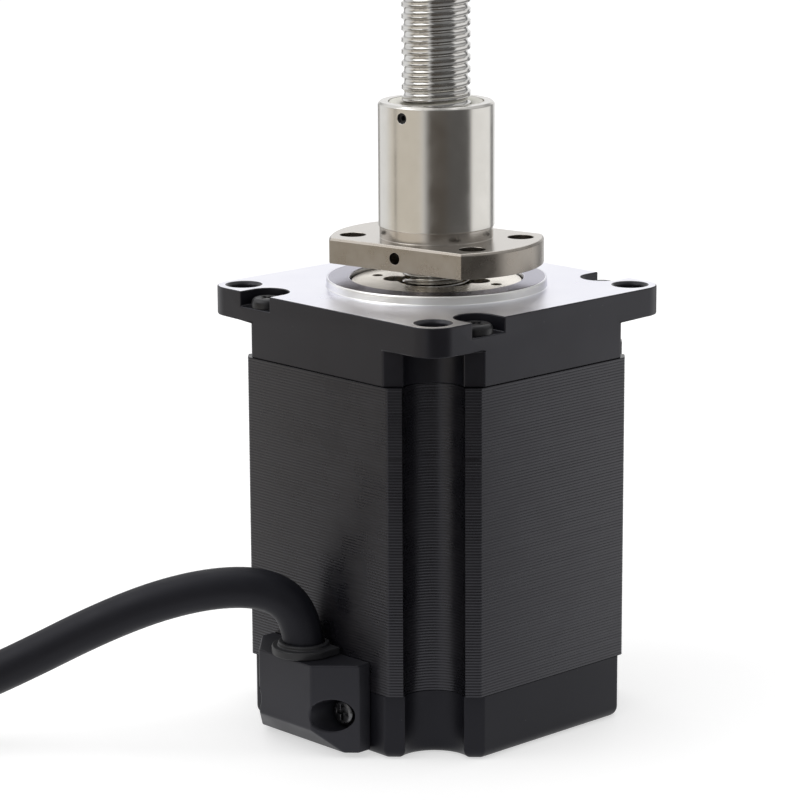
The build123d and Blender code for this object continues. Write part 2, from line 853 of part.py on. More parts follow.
def cable_coil():
    """One closed solid with the outer shape of the coiled length and its curled end."""
    centre, out = coil_frame()
    place = Pos(centre.X, centre.Y, 0)
    coil_inner_wall = coil_inner_radius - cable_radius
    coil = place * ring(coil_inner_wall, coil_outer_wall, motor_bottom, motor_bottom + 2 * cable_radius)
    stub_radius = cable_radius - cable_gap
    lead_in = Plane(origin=coil_entry(), z_dir=-coil_heading_vector()) * Cylinder(
        stub_radius, coil_lead_in, align=bottom_aligned
    )
    curl_centre, radial, way = curl()
    start = curl_centre + radial * curl_radius
    middle = curl_centre + turned(radial, way * math.radians(curl_angle / 2)) * curl_radius
    end, tangent = curl_end()
    arc = ThreePointArc(start, middle, end)
    tail = sweep(Plane(origin=start, z_dir=arc % 0) * Circle(stub_radius), path=arc)
    return coil + lead_in + tail


def cable_end_sleeve():
    end, tangent = curl_end()
    return Plane(origin=end, z_dir=tangent) * Cylinder(sleeve_radius, sleeve_length, align=bottom_aligned)


def tip_wire_arcs():
    """Arcs of the four bare leads that fan out of the sleeve toward the middle of the coil."""
    end, tangent = curl_end()
    way = coil_turning()
    side = turned(tangent, way * math.pi / 2)
    start_middle = end + tangent * sleeve_length
    count = len(tip_wire_angles)
    arcs = []
    for i in range(count):
        offset = (i - (count - 1) / 2) * tip_wire_spacing
        bend = tip_wire_bends[i]
        start = start_middle + side * offset + Vector(0, 0, tip_wire_radius - cable_radius)
        centre = start + side * bend
        half = way * math.radians(tip_wire_angles[i] / 2)
        arcs.append((start, centre + turned(start - centre, half), centre + turned(start - centre, 2 * half)))
    return arcs


def cable_leads():
    end, tangent = curl_end()
    leads = []
    for start, middle, finish in tip_wire_arcs():
        section = Plane(origin=start, z_dir=tangent) * Circle(tip_wire_radius)
        leads.append(sweep(section, path=ThreePointArc(start, middle, finish)))
    return leads


def lead_ferrules():
    ferrules = []
    for start, middle, finish in tip_wire_arcs():
        arc = ThreePointArc(start, middle, finish)
        ferrules.append(
            Plane(origin=finish, z_dir=arc % 1)
            * Cylinder(ferrule_radius, ferrule_length, align=bottom_aligned)
        )
    return ferrules


def internal_leads():
    """Four wires from the end of the sheath down to the terminal board."""
    low = rear_floor + board_height + wire_radius
    y = gland_centre.Y
    wires = []
    for i in range(wire_count):
        x = gland_centre.X + (i - (wire_count - 1) / 2) * wire_pitch
        path = FilletPolyline(
            (x, y, gland_seat),
            (x, y, low),
            (x, y + wire_inward, low),
            radius=wire_bend_radius,
        )
        section = Plane(origin=(x, y, gland_seat), z_dir=(0, 0, -1)) * Circle(wire_radius)
        wires.append(sweep(section, path=path))
    return wires


os.makedirs("parts", exist_ok=True)

magnet_low = core_middle - magnet_height / 2
magnet_high = core_middle + magnet_height / 2

keep("front_end_cap", front_end_cap())
keep("stator_core", stator_core())
keep("rear_end_cap", rear_end_cap())
keep("housing_screws", housing_screws())
keep("winding_bobbins", winding_bobbins())
keep("phase_windings", phase_windings())
keep("winding_terminal_board", winding_terminal_board())
keep("front_retainer_ring", front_retainer_ring())
keep("screw_lock_nut", screw_lock_nut())
keep("preload_wave_washer", preload_wave_washer())
for place, top in (("front", front_bearing_top), ("rear", rear_bearing_top)):
    inner, outer, balls, cage = bearing(top)
    keep(f"{place}_bearing_inner_ring", inner)
    keep(f"{place}_bearing_outer_ring", outer)
    keep(f"{place}_bearing_balls", balls)
    keep(f"{place}_bearing_cage", cage)
keep("hollow_shaft", hollow_shaft())
keep("rotor_front_cup", rotor_cup(magnet_high, rotor_top, 0))
keep("rotor_rear_cup", rotor_cup(rotor_bottom, magnet_low, 180 / rotor_teeth))
keep("rotor_magnet", ring(shaft_shoulder + bond_gap, magnet_radius, magnet_low, magnet_high))
keep("ball_screw", ball_screw())
keep("ball_nut", ball_nut())
keep("ball_returns", ball_returns())
keep("nut_balls", nut_balls())
keep("nut_upper_wiper", nut_wiper(nut_top - wiper_height))
keep("nut_lower_wiper", nut_wiper(nut_base))
keep("wiper_set_screw", wiper_set_screw())
keep("cable_cover", cable_cover())
keep("cable_cover_screws", cable_cover_screws())
keep("cable_gland", cable_gland())
keep("internal_leads", internal_leads())
keep("motor_cable", motor_cable())
keep("cable_coil", cable_coil())
keep("cable_end_sleeve", cable_end_sleeve())
keep("cable_leads", cable_leads())
keep("lead_ferrules", lead_ferrules())
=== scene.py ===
import json
import math

import bmesh
import bpy
import numpy as np
from mathutils import Matrix, Vector


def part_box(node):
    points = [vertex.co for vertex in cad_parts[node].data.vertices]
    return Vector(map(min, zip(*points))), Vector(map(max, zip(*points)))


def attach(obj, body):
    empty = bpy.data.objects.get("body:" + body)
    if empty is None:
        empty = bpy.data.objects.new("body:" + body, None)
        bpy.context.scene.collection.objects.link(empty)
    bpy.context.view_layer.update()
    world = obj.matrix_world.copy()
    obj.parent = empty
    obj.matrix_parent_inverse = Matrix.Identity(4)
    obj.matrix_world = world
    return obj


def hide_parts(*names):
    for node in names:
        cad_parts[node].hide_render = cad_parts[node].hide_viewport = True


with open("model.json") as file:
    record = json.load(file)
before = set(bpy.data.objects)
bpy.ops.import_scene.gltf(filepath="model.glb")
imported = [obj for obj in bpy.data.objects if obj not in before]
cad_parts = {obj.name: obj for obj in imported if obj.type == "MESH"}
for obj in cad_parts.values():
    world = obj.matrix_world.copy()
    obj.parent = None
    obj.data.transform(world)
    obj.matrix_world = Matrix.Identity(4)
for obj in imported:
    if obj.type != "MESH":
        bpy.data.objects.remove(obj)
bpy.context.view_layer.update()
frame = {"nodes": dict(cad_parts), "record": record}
nodes = frame["nodes"]
bodyOf = {node: body for body, members in frame["record"]["behaviour"]["bodies"].items() for node in members}
mm = 0.001  # every dictionary below is in millimetres and degrees
print("frame loaded:", len(nodes), "nodes")


def boxOf(node):  # lowest and highest corner of a node, in millimetres
    low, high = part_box(node)
    return np.array(low) / mm, np.array(high) / mm


# Camera, where the photograph was taken from
view = {
    "place": (392.02, -378.77, 104.70),
    "azimuth": 46.66,
    "elevation": 12.934,
    "roll": -0.296,
    "lens": 144.56,
    "sensor": 36.0,
}


def makeCamera():
    azimuth, elevation, roll = (math.radians(view[part]) for part in ("azimuth", "elevation", "roll"))
    level = Vector((math.cos(azimuth), math.sin(azimuth), 0))
    back = Vector((
        math.sin(azimuth) * math.cos(elevation),
        -math.cos(azimuth) * math.cos(elevation),
        math.sin(elevation),
    ))
    up = back.cross(level)
    right = level * math.cos(roll) + up * math.sin(roll)
    top = up * math.cos(roll) - level * math.sin(roll)
    data = bpy.data.cameras.new("camera")
    data.lens = view["lens"]
    data.sensor_width = view["sensor"]
    camera = bpy.data.objects.new("camera", data)
    bpy.context.scene.collection.objects.link(camera)
    turn = Matrix((right, top, back)).transposed().to_4x4()
    camera.matrix_world = Matrix.Translation(Vector(view["place"]) * mm) @ turn
    bpy.context.scene.camera = camera


makeCamera()
print("camera placed")


# Meshes from arrays of points
def gridFaces(rows, columns, wrap):
    # Quads between neighbouring rows and columns; the last column joins the first where wrap is on
    across = columns if wrap else columns - 1
    row, column = np.meshgrid(np.arange(rows - 1), np.arange(across), indexing="ij")
    beside = (column + 1) % columns
    corners = [
        row * columns + column,
        row * columns + beside,
        (row + 1) * columns + beside,
        (row + 1) * columns + column,
    ]
    return np.stack(corners, axis=-1).reshape(-1, 4)


def newPiece(name, points, faces):
    mesh = bpy.data.meshes.new(name)
    mesh.from_pydata((np.asarray(points) * mm).tolist(), [], [list(face) for face in faces])
    piece = bpy.data.objects.new(name, mesh)
    bpy.context.scene.collection.objects.link(piece)
    return piece


# Points nearer than merge become one, edges under drop go, and faces within flatAngle of each other become one
mending = {"merge": 0.002, "drop": 0.0005, "flatAngle": 0.6}


def weld(piece):
    # Merges doubled points, drops slivers and turns every face outwards
    work = bmesh.new()
    work.from_mesh(piece.data)
    bmesh.ops.remove_doubles(work, verts=work.verts, dist=mending["merge"] * mm)
    bmesh.ops.dissolve_degenerate(work, edges=work.edges, dist=mending["drop"] * mm)
    bmesh.ops.recalc_face_normals(work, faces=work.faces)
    work.to_mesh(piece.data)
    work.free()


def revolvedPoints(profile, steps):
    # Each profile point (radius, height) is carried round the axis: x = r cos a, y = r sin a, z = height
    radius, height = np.array(profile, float).T
    angle = np.linspace(0, 2 * math.pi, steps, endpoint=False)
    x = np.outer(radius, np.cos(angle))
    y = np.outer(radius, np.sin(angle))
    z = np.repeat(height[:, None], steps, 1)
    return np.stack([x, y, z], axis=-1).reshape(-1, 3)


def joined(parts):
    # One point array and one face list from several (points, faces) pairs
    points, faces, count = [], [], 0
    for somePoints, someFaces in parts:
        points.append(somePoints)
        faces.append(np.asarray(someFaces) + count)
        count += len(somePoints)
    return np.concatenate(points), np.concatenate(faces)


def turnedSolid(profile, steps, place=None):
    # A closed profile turned about the axis, then put in its place by a 4x4 matrix
    points = revolvedPoints(profile, steps)
    if place is not None:
        points = points @ place[:3, :3].T + place[:3, 3]
    return points, gridFaces(len(profile), steps, True)


def settle(piece, look, body, replaced, sharp=35.0):
    # Finish, shading with edges over the sharp angle kept hard, the piece hung on its body, and the parts it
    # replaces hidden
    piece.data.materials.clear()
    piece.data.materials.append(look)
    piece.data.shade_smooth()
    if sharp:
        piece.data.set_sharp_from_angle(angle=math.radians(sharp))
    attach(piece, body)
    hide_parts(*replaced)
    return piece


edgeBreak = {"segments": 2, "fromAngle": 32.0}


def dressedCopy(node, look, bevel):
    # The node's own shape with merged points, flat faces made whole, and its edges broken by a small bevel
    source = nodes[node].data
    places = np.zeros(len(source.vertices) * 3)
    source.vertices.foreach_get("co", places)
    corners = np.zeros(len(source.loops), int)
    source.loops.foreach_get("vertex_index", corners)
    piece = newPiece(node + "_dressed", places.reshape(-1, 3) / mm, corners.reshape(-1, 3))
    work = bmesh.new()
    work.from_mesh(piece.data)
    bmesh.ops.remove_doubles(work, verts=work.verts, dist=mending["merge"] * mm)
    flat = math.radians(mending["flatAngle"])
    bmesh.ops.dissolve_limit(work, angle_limit=flat, verts=work.verts, edges=work.edges)
    work.to_mesh(piece.data)
    work.free()
    settle(piece, look, bodyOf[node], (node,), sharp=0)
    rounding = piece.modifiers.new("edges", "BEVEL")
    rounding.width = bevel * mm
    rounding.segments = edgeBreak["segments"]
    rounding.limit_method = "ANGLE"
    rounding.angle_limit = math.radians(edgeBreak["fromAngle"])
    rounding.use_clamp_overlap = False
    rounding.harden_normals = True


# Shader groups, each giving one value that varies over the surface
def newGroup(name, inputs, output):
    group = bpy.data.node_groups.new(name, "ShaderNodeTree")
    for label, value in inputs:
        socket = group.interface.new_socket(name=label, in_out="INPUT", socket_type="NodeSocketFloat")
        socket.default_value = value
    group.interface.new_socket(name=output, in_out="OUTPUT", socket_type="NodeSocketFloat")
    return group, group.nodes.new("NodeGroupInput"), group.nodes.new("NodeGroupOutput")


def mathNode(tree, operation, first, second=None):
    node = tree.nodes.new("ShaderNodeMath")
    node.operation = operation
    for socket, value in zip(node.inputs, (first, second)):
        if isinstance(value, bpy.types.NodeSocket):
            tree.links.new(value, socket)
        elif value is not None:
            socket.default_value = value
    return node.outputs[0]


perMetre = 1 / mm
toolMarks = {"detail": 2.0, "around": 60.0}  # grinding marks change with height far quicker than around


def objectPlace(tree, stretch=(perMetre, perMetre, perMetre)):
    # Object coordinates in millimetres, or stretched otherwise along each axis
    coordinates = tree.nodes.new("ShaderNodeTexCoord")
    scaled = tree.nodes.new("ShaderNodeVectorMath")
    scaled.operation = "MULTIPLY"
    scaled.inputs[1].default_value = stretch
    tree.links.new(coordinates.outputs["Object"], scaled.inputs[0])
    return scaled.outputs[0]


def patchesGroup():
    # Soft clouds: noise whose blotches are Size millimetres across
    group, given, out = newGroup("patches", [("Size", 6.0), ("Detail", 3.0)], "Value")
    noise = group.nodes.new("ShaderNodeTexNoise")
    group.links.new(objectPlace(group), noise.inputs["Vector"])
    group.links.new(mathNode(group, "DIVIDE", 1.0, given.outputs["Size"]), noise.inputs["Scale"])
    group.links.new(given.outputs["Detail"], noise.inputs["Detail"])
    group.links.new(noise.outputs["Fac"], out.inputs["Value"])
    return group


def latheGroup():
    # Turning marks: noise along the distance from the screw's axis, Pitch millimetres apart
    group, given, out = newGroup("latheMarks", [("Pitch", 0.2)], "Value")
    flat = group.nodes.new("ShaderNodeVectorMath")
    flat.operation = "LENGTH"
    group.links.new(objectPlace(group, (perMetre, perMetre, 0.0)), flat.inputs[0])
    noise = group.nodes.new("ShaderNodeTexNoise")
    noise.noise_dimensions = "1D"
    noise.inputs["Scale"].default_value = 1.0
    noise.inputs["Detail"].default_value = toolMarks["detail"]
    rings = mathNode(group, "DIVIDE", flat.outputs["Value"], given.outputs["Pitch"])
    group.links.new(rings, noise.inputs["W"])
    group.links.new(noise.outputs["Fac"], out.inputs["Value"])
    return group


def grindGroup():
    # Grinding marks round the axis: noise that changes quickly with height and slowly around
    group, given, out = newGroup("grindMarks", [("Pitch", 0.1)], "Value")
    place = objectPlace(group, (toolMarks["around"], toolMarks["around"], perMetre))
    parts = group.nodes.new("ShaderNodeSeparateXYZ")
    group.links.new(place, parts.inputs[0])
    gathered = group.nodes.new("ShaderNodeCombineXYZ")
    group.links.new(parts.outputs["X"], gathered.inputs["X"])
    group.links.new(parts.outputs["Y"], gathered.inputs["Y"])
    bands = mathNode(group, "DIVIDE", parts.outputs["Z"], given.outputs["Pitch"])
    group.links.new(bands, gathered.inputs["Z"])
    noise = group.nodes.new("ShaderNodeTexNoise")
    noise.inputs["Scale"].default_value = 1.0
    noise.inputs["Detail"].default_value = toolMarks["detail"]
    group.links.new(gathered.outputs[0], noise.inputs["Vector"])
    group.links.new(noise.outputs["Fac"], out.inputs["Value"])
    return group


def specksGroup():
    # Dust and tiny nicks: the centres of scattered cells Spacing millimetres apart, Width wide
    group, given, out = newGroup("specks", [("Spacing", 3.0), ("Width", 0.05)], "Value")
    cells = group.nodes.new("ShaderNodeTexVoronoi")
    group.links.new(objectPlace(group), cells.inputs["Vector"])
    group.links.new(mathNode(group, "DIVIDE", 1.0, given.outputs["Spacing"]), cells.inputs["Scale"])
    near = mathNode(group, "LESS_THAN", cells.outputs["Distance"], given.outputs["Width"])
    group.links.new(near, out.inputs["Value"])
    return group


patchesGroup()
latheGroup()
grindGroup()
specksGroup()


def groupValue(tree, name, values):
    node = tree.nodes.new("ShaderNodeGroup")
    node.node_tree = bpy.data.node_groups[name]
    for label, value in values.items():
        node.inputs[label].default_value = value
    return node.outputs["Value"]


def mixedColour(tree, share, first, second):
    # In colour mode the Mix node's sockets are 0 for the share, 6 and 7 for the colours, and 2 comes out
    node = tree.nodes.new("ShaderNodeMix")
    node.data_type = "RGBA"
    for socket, value in ((node.inputs[0], share), (node.inputs[6], first), (node.inputs[7], second)):
        if isinstance(value, bpy.types.NodeSocket):
            tree.links.new(value, socket)
        else:
            socket.default_value = (*value, 1.0) if isinstance(value, tuple) else value
    return node.outputs[2]


def mappedValue(tree, value, low, high, start=0.3, end=0.7):
    # A smooth step from low to high while the value goes from start to end
    node = tree.nodes.new("ShaderNodeMapRange")
    node.interpolation_type = "SMOOTHSTEP"
    tree.links.new(value, node.inputs["Value"])
    for label, number in (("From Min", start), ("From Max", end), ("To Min", low), ("To Max", high)):
        node.inputs[label].default_value = number
    return node.outputs["Result"]


def mixedValue(tree, share, first, second):
    # first * (1 - share) + second * share
    change = mathNode(tree, "MULTIPLY", share, mathNode(tree, "SUBTRACT", second, first))
    return mathNode(tree, "ADD", first, change)


def makeFinish(name, *looks, above=()):
    # A material with mixed tones, a varying roughness and fine marks.
    # Above each height the next look takes over, so a piece can carry several finishes.
    material = bpy.data.materials.new(name)
    material.use_nodes = True
    tree = material.node_tree
    shader = tree.nodes["Principled BSDF"]
    parts = tree.nodes.new("ShaderNodeSeparateXYZ")
    tree.links.new(objectPlace(tree), parts.inputs[0])
    shares = [mathNode(tree, "GREATER_THAN", parts.outputs["Z"], height) for height in above]
    colour = rough = metal = height = None
    for i, look in enumerate(looks):
        cloud = groupValue(tree, "patches", {"Size": look.get("patch", 8.0)})
        ownColour = mixedColour(tree, mappedValue(tree, cloud, 0.0, 1.0), look["tone"], look["otherTone"])
        ownRough = mappedValue(tree, cloud, *look["roughness"])
        ownMetal = look.get("metallic", 0.0)
        if "specks" in look:
            spots = groupValue(tree, "specks", look["specks"]["shape"])
            share = mathNode(tree, "MULTIPLY", spots, look["specks"]["share"])
            ownColour = mixedColour(tree, share, ownColour, look["specks"]["tone"])
        # Where a look has one, the named attribute darkens the colour: painted shade, as in the seams between
        # the core's sheets
        if "paintedSeamShade" in look:
            seamShadeMask = tree.nodes.new("ShaderNodeAttribute")
            seamShadeMask.attribute_name = look["paintedSeamShade"]["attribute"]
            ownColour = mixedColour(tree, seamShadeMask.outputs["Fac"], ownColour, look["paintedSeamShade"]["tone"])
        ownHeight = None
        for group, values, depth in look["marks"]:
            part = mathNode(tree, "MULTIPLY", groupValue(tree, group, values), depth)
            ownHeight = part if ownHeight is None else mathNode(tree, "ADD", ownHeight, part)
        if i == 0:
            colour, rough, metal, height = ownColour, ownRough, ownMetal, ownHeight
            continue
        share = shares[i - 1]
        colour = mixedColour(tree, share, colour, ownColour)
        rough = mixedValue(tree, share, rough, ownRough)
        metal = mixedValue(tree, share, metal, ownMetal) if metal != ownMetal else metal
        height = mixedValue(tree, share, height, ownHeight)
    tree.links.new(colour, shader.inputs["Base Color"])
    tree.links.new(rough, shader.inputs["Roughness"])
    if isinstance(metal, bpy.types.NodeSocket):
        tree.links.new(metal, shader.inputs["Metallic"])
    else:
        shader.inputs["Metallic"].default_value = metal
    for label, value in looks[0].get("sockets", {}).items():
        shader.inputs[label].default_value = value
    bump = tree.nodes.new("ShaderNodeBump")
    bump.inputs["Distance"].default_value = mm
    tree.links.new(height, bump.inputs["Height"])
    tree.links.new(bump.outputs["Normal"], shader.inputs["Normal"])
    return material


# Finishes
blackPaint = {
    "tone": (0.0060, 0.0060, 0.0088),
    "otherTone": (0.0082, 0.0081, 0.0108),
    "roughness": (0.33, 0.40),
    "sockets": {"Specular IOR Level": 0.44, "Specular Tint": (0.90, 0.90, 1.0, 1.0)},
    "patch": 9.0,
    "specks": {"shape": {"Spacing": 2.6, "Width": 0.035}, "share": 0.35, "tone": (0.12, 0.12, 0.13)},
    "marks": [("patches", {"Size": 0.22, "Detail": 2.0}, 0.010), ("patches", {"Size": 1.6}, 0.006)],
}
# The rear cap's paint: the same black paint in a darker tone with less gloss; the darker tone is painted shade
# near the floor
rearCapPaintWithPaintedShade = {
    "tone": (0.0045, 0.0045, 0.0068),
    "otherTone": (0.0062, 0.0062, 0.0088),
    "roughness": (0.36, 0.43),
    "sockets": {"Specular IOR Level": 0.27, "Specular Tint": (0.90, 0.90, 1.0, 1.0)},
    "patch": 9.0,
    "specks": {"shape": {"Spacing": 2.6, "Width": 0.035}, "share": 0.35, "tone": (0.10, 0.10, 0.11)},
    "marks": [("patches", {"Size": 0.22, "Detail": 2.0}, 0.010), ("patches", {"Size": 1.6}, 0.006)],
}
machinedFace = {
    "tone": (0.93, 0.93, 0.915),
    "otherTone": (0.96, 0.96, 0.945),
    "roughness": (0.27, 0.35),
    "metallic": 1.0,
    "patch": 14.0,
    "marks": [("latheMarks", {"Pitch": 0.12}, 0.0006)],
}
# The pilot's top: the same milled metal in a darker tone; the darker tone is painted shade under the nut
# flange
pilotFaceWithPaintedShade = {
    "tone": (0.335, 0.325, 0.315),
    "otherTone": (0.385, 0.375, 0.365),
    "roughness": (0.14, 0.19),
    "metallic": 1.0,
    "patch": 8.0,
    "marks": [("latheMarks", {"Pitch": 0.1}, 0.0004)],
}
laminationLookWithSeamShade = {
    "tone": (0.0060, 0.0058, 0.0080),
    "otherTone": (0.0085, 0.0080, 0.0100),
    "roughness": (0.25, 0.33),
    "sockets": {"Specular IOR Level": 0.56, "Specular Tint": (0.90, 0.90, 1.0, 1.0)},
    "patch": 5.0,
    # The seam rows take a darker tone: painted shade in the seams between the sheets
    "paintedSeamShade": {"attribute": "seam", "tone": (0.0025, 0.0024, 0.0028)},
    "specks": {"shape": {"Spacing": 3.4, "Width": 0.03}, "share": 0.3, "tone": (0.10, 0.10, 0.10)},
    "marks": [("patches", {"Size": 0.3}, 0.008)],
}
coverPlastic = {
    "tone": (0.0085, 0.0085, 0.0115),
    "otherTone": (0.0110, 0.0110, 0.0140),
    "roughness": (0.42, 0.50),
    "sockets": {"Specular IOR Level": 0.46, "Specular Tint": (0.90, 0.90, 1.0, 1.0)},
    "marks": [("patches", {"Size": 0.16, "Detail": 1.0}, 0.010)],
}
blackRubber = {
    "tone": (0.0120, 0.0122, 0.0145),
    "otherTone": (0.0160, 0.0162, 0.0190),
    "roughness": (0.44, 0.54),
    "marks": [("patches", {"Size": 0.4}, 0.006)],
}
cableSheath = {
    "tone": (0.0070, 0.0072, 0.0105),
    "otherTone": (0.0088, 0.0090, 0.0125),
    "roughness": (0.46, 0.54),
    "sockets": {"Specular IOR Level": 0.26, "Specular Tint": (0.92, 0.92, 1.0, 1.0)},
    "patch": 5.0,
    "marks": [("patches", {"Size": 0.25}, 0.005)],
}
blackSteel = {
    "tone": (0.018, 0.018, 0.020),
    "otherTone": (0.030, 0.030, 0.033),
    "roughness": (0.32, 0.48),
    "metallic": 0.4,
    "patch": 1.2,
    "specks": {"shape": {"Spacing": 0.7, "Width": 0.07}, "share": 0.5, "tone": (0.22, 0.21, 0.20)},
    "marks": [("patches", {"Size": 0.2}, 0.012)],
}
flangeSideLook = {
    "tone": (0.300, 0.272, 0.240),
    "otherTone": (0.345, 0.318, 0.286),
    "roughness": (0.26, 0.33),
    "metallic": 1.0,
    "patch": 3.0,
    "marks": [("patches", {"Size": 0.16}, 0.003)],
}
nutFlangeLook = {
    "tone": (0.52, 0.485, 0.445),
    "otherTone": (0.57, 0.54, 0.50),
    "roughness": (0.19, 0.24),
    "metallic": 1.0,
    "patch": 4.0,
    "marks": [("patches", {"Size": 0.12}, 0.0015), ("latheMarks", {"Pitch": 0.12}, 0.0005)],
}
groundSteel = {
    "tone": (0.60, 0.585, 0.555),
    "otherTone": (0.66, 0.645, 0.615),
    "roughness": (0.17, 0.24),
    "metallic": 1.0,
    "patch": 6.0,
    "marks": [("grindMarks", {"Pitch": 0.09}, 0.0008), ("latheMarks", {"Pitch": 0.1}, 0.0006)],
}
polishedThread = {
    "tone": (0.54, 0.53, 0.515),
    "otherTone": (0.62, 0.615, 0.60),
    "roughness": (0.08, 0.14),
    "metallic": 1.0,
    "patch": 2.5,
    "marks": [("patches", {"Size": 0.3}, 0.0010)],
}
nickelPlate = {
    "tone": (0.92, 0.86, 0.76),
    "otherTone": (0.96, 0.91, 0.82),
    "roughness": (0.20, 0.28),
    "metallic": 1.0,
    "patch": 4.0,
    "marks": [("latheMarks", {"Pitch": 0.2}, 0.001), ("patches", {"Size": 0.2}, 0.002)],
}
turnedBrass = {
    "tone": (0.86, 0.60, 0.25),
    "otherTone": (0.93, 0.68, 0.31),
    "roughness": (0.34, 0.44),
    "metallic": 1.0,
    "patch": 2.0,
    "marks": [("latheMarks", {"Pitch": 0.1}, 0.002)],
}
creamPlastic = {
    "tone": (0.78, 0.76, 0.68),
    "otherTone": (0.84, 0.82, 0.75),
    "roughness": (0.38, 0.50),
    "patch": 2.0,
    "marks": [("patches", {"Size": 0.3}, 0.005)],
}
darkZinc = {
    "tone": (0.10, 0.10, 0.105),
    "otherTone": (0.16, 0.16, 0.165),
    "roughness": (0.26, 0.38),
    "metallic": 1.0,
    "patch": 0.8,
    "marks": [("patches", {"Size": 0.2}, 0.006)],
}
bearingSteel = {
    "tone": (0.58, 0.58, 0.59),
    "otherTone": (0.64, 0.64, 0.65),
    "roughness": (0.10, 0.18),
    "metallic": 1.0,
    "marks": [("latheMarks", {"Pitch": 0.08}, 0.001)],
}
bluedSteel = {
    "tone": (0.24, 0.24, 0.25),
    "otherTone": (0.32, 0.32, 0.33),
    "roughness": (0.30, 0.42),
    "metallic": 1.0,
    "marks": [("grindMarks", {"Pitch": 0.3}, 0.003)],
}
magnetNickel = {
    "tone": (0.48, 0.47, 0.45),
    "otherTone": (0.56, 0.55, 0.53),
    "roughness": (0.18, 0.28),
    "metallic": 1.0,
    "marks": [("patches", {"Size": 0.5}, 0.003)],
}
windingCopper = {
    "tone": (0.56, 0.21, 0.10),
    "otherTone": (0.66, 0.28, 0.14),
    "roughness": (0.24, 0.36),
    "metallic": 0.8,
    "patch": 1.0,
    "marks": [("grindMarks", {"Pitch": 0.35}, 0.08)],
}
bobbinNylon = {
    "tone": (0.62, 0.60, 0.54),
    "otherTone": (0.70, 0.68, 0.62),
    "roughness": (0.40, 0.52),
    "marks": [("patches", {"Size": 0.3}, 0.006)],
}
circuitBoard = {
    "tone": (0.010, 0.085, 0.035),
    "otherTone": (0.016, 0.11, 0.045),
    "roughness": (0.28, 0.40),
    "patch": 3.0,
    "marks": [("patches", {"Size": 0.35}, 0.006)],
}
cageNylon = {
    "tone": (0.05, 0.16, 0.08),
    "otherTone": (0.07, 0.20, 0.10),
    "roughness": (0.40, 0.50),
    "marks": [("patches", {"Size": 0.3}, 0.006)],
}
leadInsulation = {
    "tone": (0.30, 0.02, 0.015),
    "otherTone": (0.38, 0.03, 0.02),
    "roughness": (0.34, 0.44),
    "marks": [("patches", {"Size": 0.3}, 0.004)],
}
tinnedCopper = {
    "tone": (0.62, 0.62, 0.61),
    "otherTone": (0.72, 0.72, 0.71),
    "roughness": (0.22, 0.34),
    "metallic": 1.0,
    "patch": 0.8,
    "marks": [("patches", {"Size": 0.25}, 0.01)],
}

# Heights where a finish changes: the cap's milled face, the pilot's top, the nut flange's top, the nut's body
finishHeights = {"capFace": -0.02, "pilotTop": 1.48, "flangeChamfer": 8.42, "nutBody": 10.49}

# The front cap: black paint, the milled face, and the pilot's top with its painted shade
frontCapPaintMachinedFaceAndPilotShade = makeFinish(
    "paintMachinedFaceAndPilotShade",
    blackPaint,
    machinedFace,
    pilotFaceWithPaintedShade,
    above=(finishHeights["capFace"], finishHeights["pilotTop"]),
)
rearCapPaintedShadeMaterial = makeFinish("rearCapPaintWithPaintedShade", rearCapPaintWithPaintedShade)
laminationFinishWithSeamShade = makeFinish("coreLaminations", laminationLookWithSeamShade)
nutFinish = makeFinish(
    "nutSteel",
    flangeSideLook,
    nutFlangeLook,
    groundSteel,
    above=(finishHeights["flangeChamfer"], finishHeights["nutBody"]),
)
finishes = {
    "cover": makeFinish("coverPlastic", coverPlastic),
    "rubber": makeFinish("blackRubber", blackRubber),
    "cable": makeFinish("cableSheath", cableSheath),
    "blackSteel": makeFinish("blackSteel", blackSteel),
    "thread": makeFinish("polishedThread", polishedThread),
    "nickel": makeFinish("nickelPlate", nickelPlate),
    "brass": makeFinish("turnedBrass", turnedBrass),
    "wiper": makeFinish("creamPlastic", creamPlastic),
    "zinc": makeFinish("darkZinc", darkZinc),
    "bearing": makeFinish("bearingSteel", bearingSteel),
    "blued": makeFinish("bluedSteel", bluedSteel),
    "magnet": makeFinish("magnetNickel", magnetNickel),
    "copper": makeFinish("windingCopper", windingCopper),
    "bobbin": makeFinish("bobbinNylon", bobbinNylon),
    "board": makeFinish("circuitBoard", circuitBoard),
    "cage": makeFinish("cageNylon", cageNylon),
    "leads": makeFinish("leadInsulation", leadInsulation),
    "tinned": makeFinish("tinnedCopper", tinnedCopper),
}
print("finishes made")

# Cable: the free stretch, its coil beside the view, and the end sleeve with its leads
cable = {
    "gland": (0.7, -32.2),
    "heading": 226.66,
    "radius": 3.5,
    "roundSteps": 6,
    "lengthSteps": 10,
    # distance out from the gland along the heading, and height
    "route": [
        (0.0, -60.2),
        (0.0, -53.4),
        (5.1, -47.7),
        (16.5, -47.6),
        (31.0, -52.0),
        (52.0, -62.7),
        (64.0, -67.5),
    ],
    "floorLine": -72.0,
    "bendOut": 64.0,
    "bendAngle": 24.8,
    "landing": 11.5,
    "leadIn": 22.9,
    "coilEntry": 46.8,
    "coilRadius": 39.0,
    "turnPitch": 7.2,  # how far the radius shrinks in each turn
    "turns": 1.28,
    "pointsPerTurn": 24,
    "curlRadius": 21.0,
    "curlAngle": 110.0,
    "curlPoints": 8,
    "exitHeight": -57.0,
    "length": 0.437,  # metres
}
endSleeve = {
    "radius": 3.9,
    "length": 12.0,
    "wall": 0.35,
    "rounding": 0.5,
    "backFace": 0.05,
    # the sleeve shrinks by stepDepth between these shares of its length
    "stepFrom": 0.55,
    "stepTo": 0.7,
    "stepDepth": 0.12,
    "hollowDepth": 0.9,
    "hollowSlope": 1.0,
    "steps": 40,
}
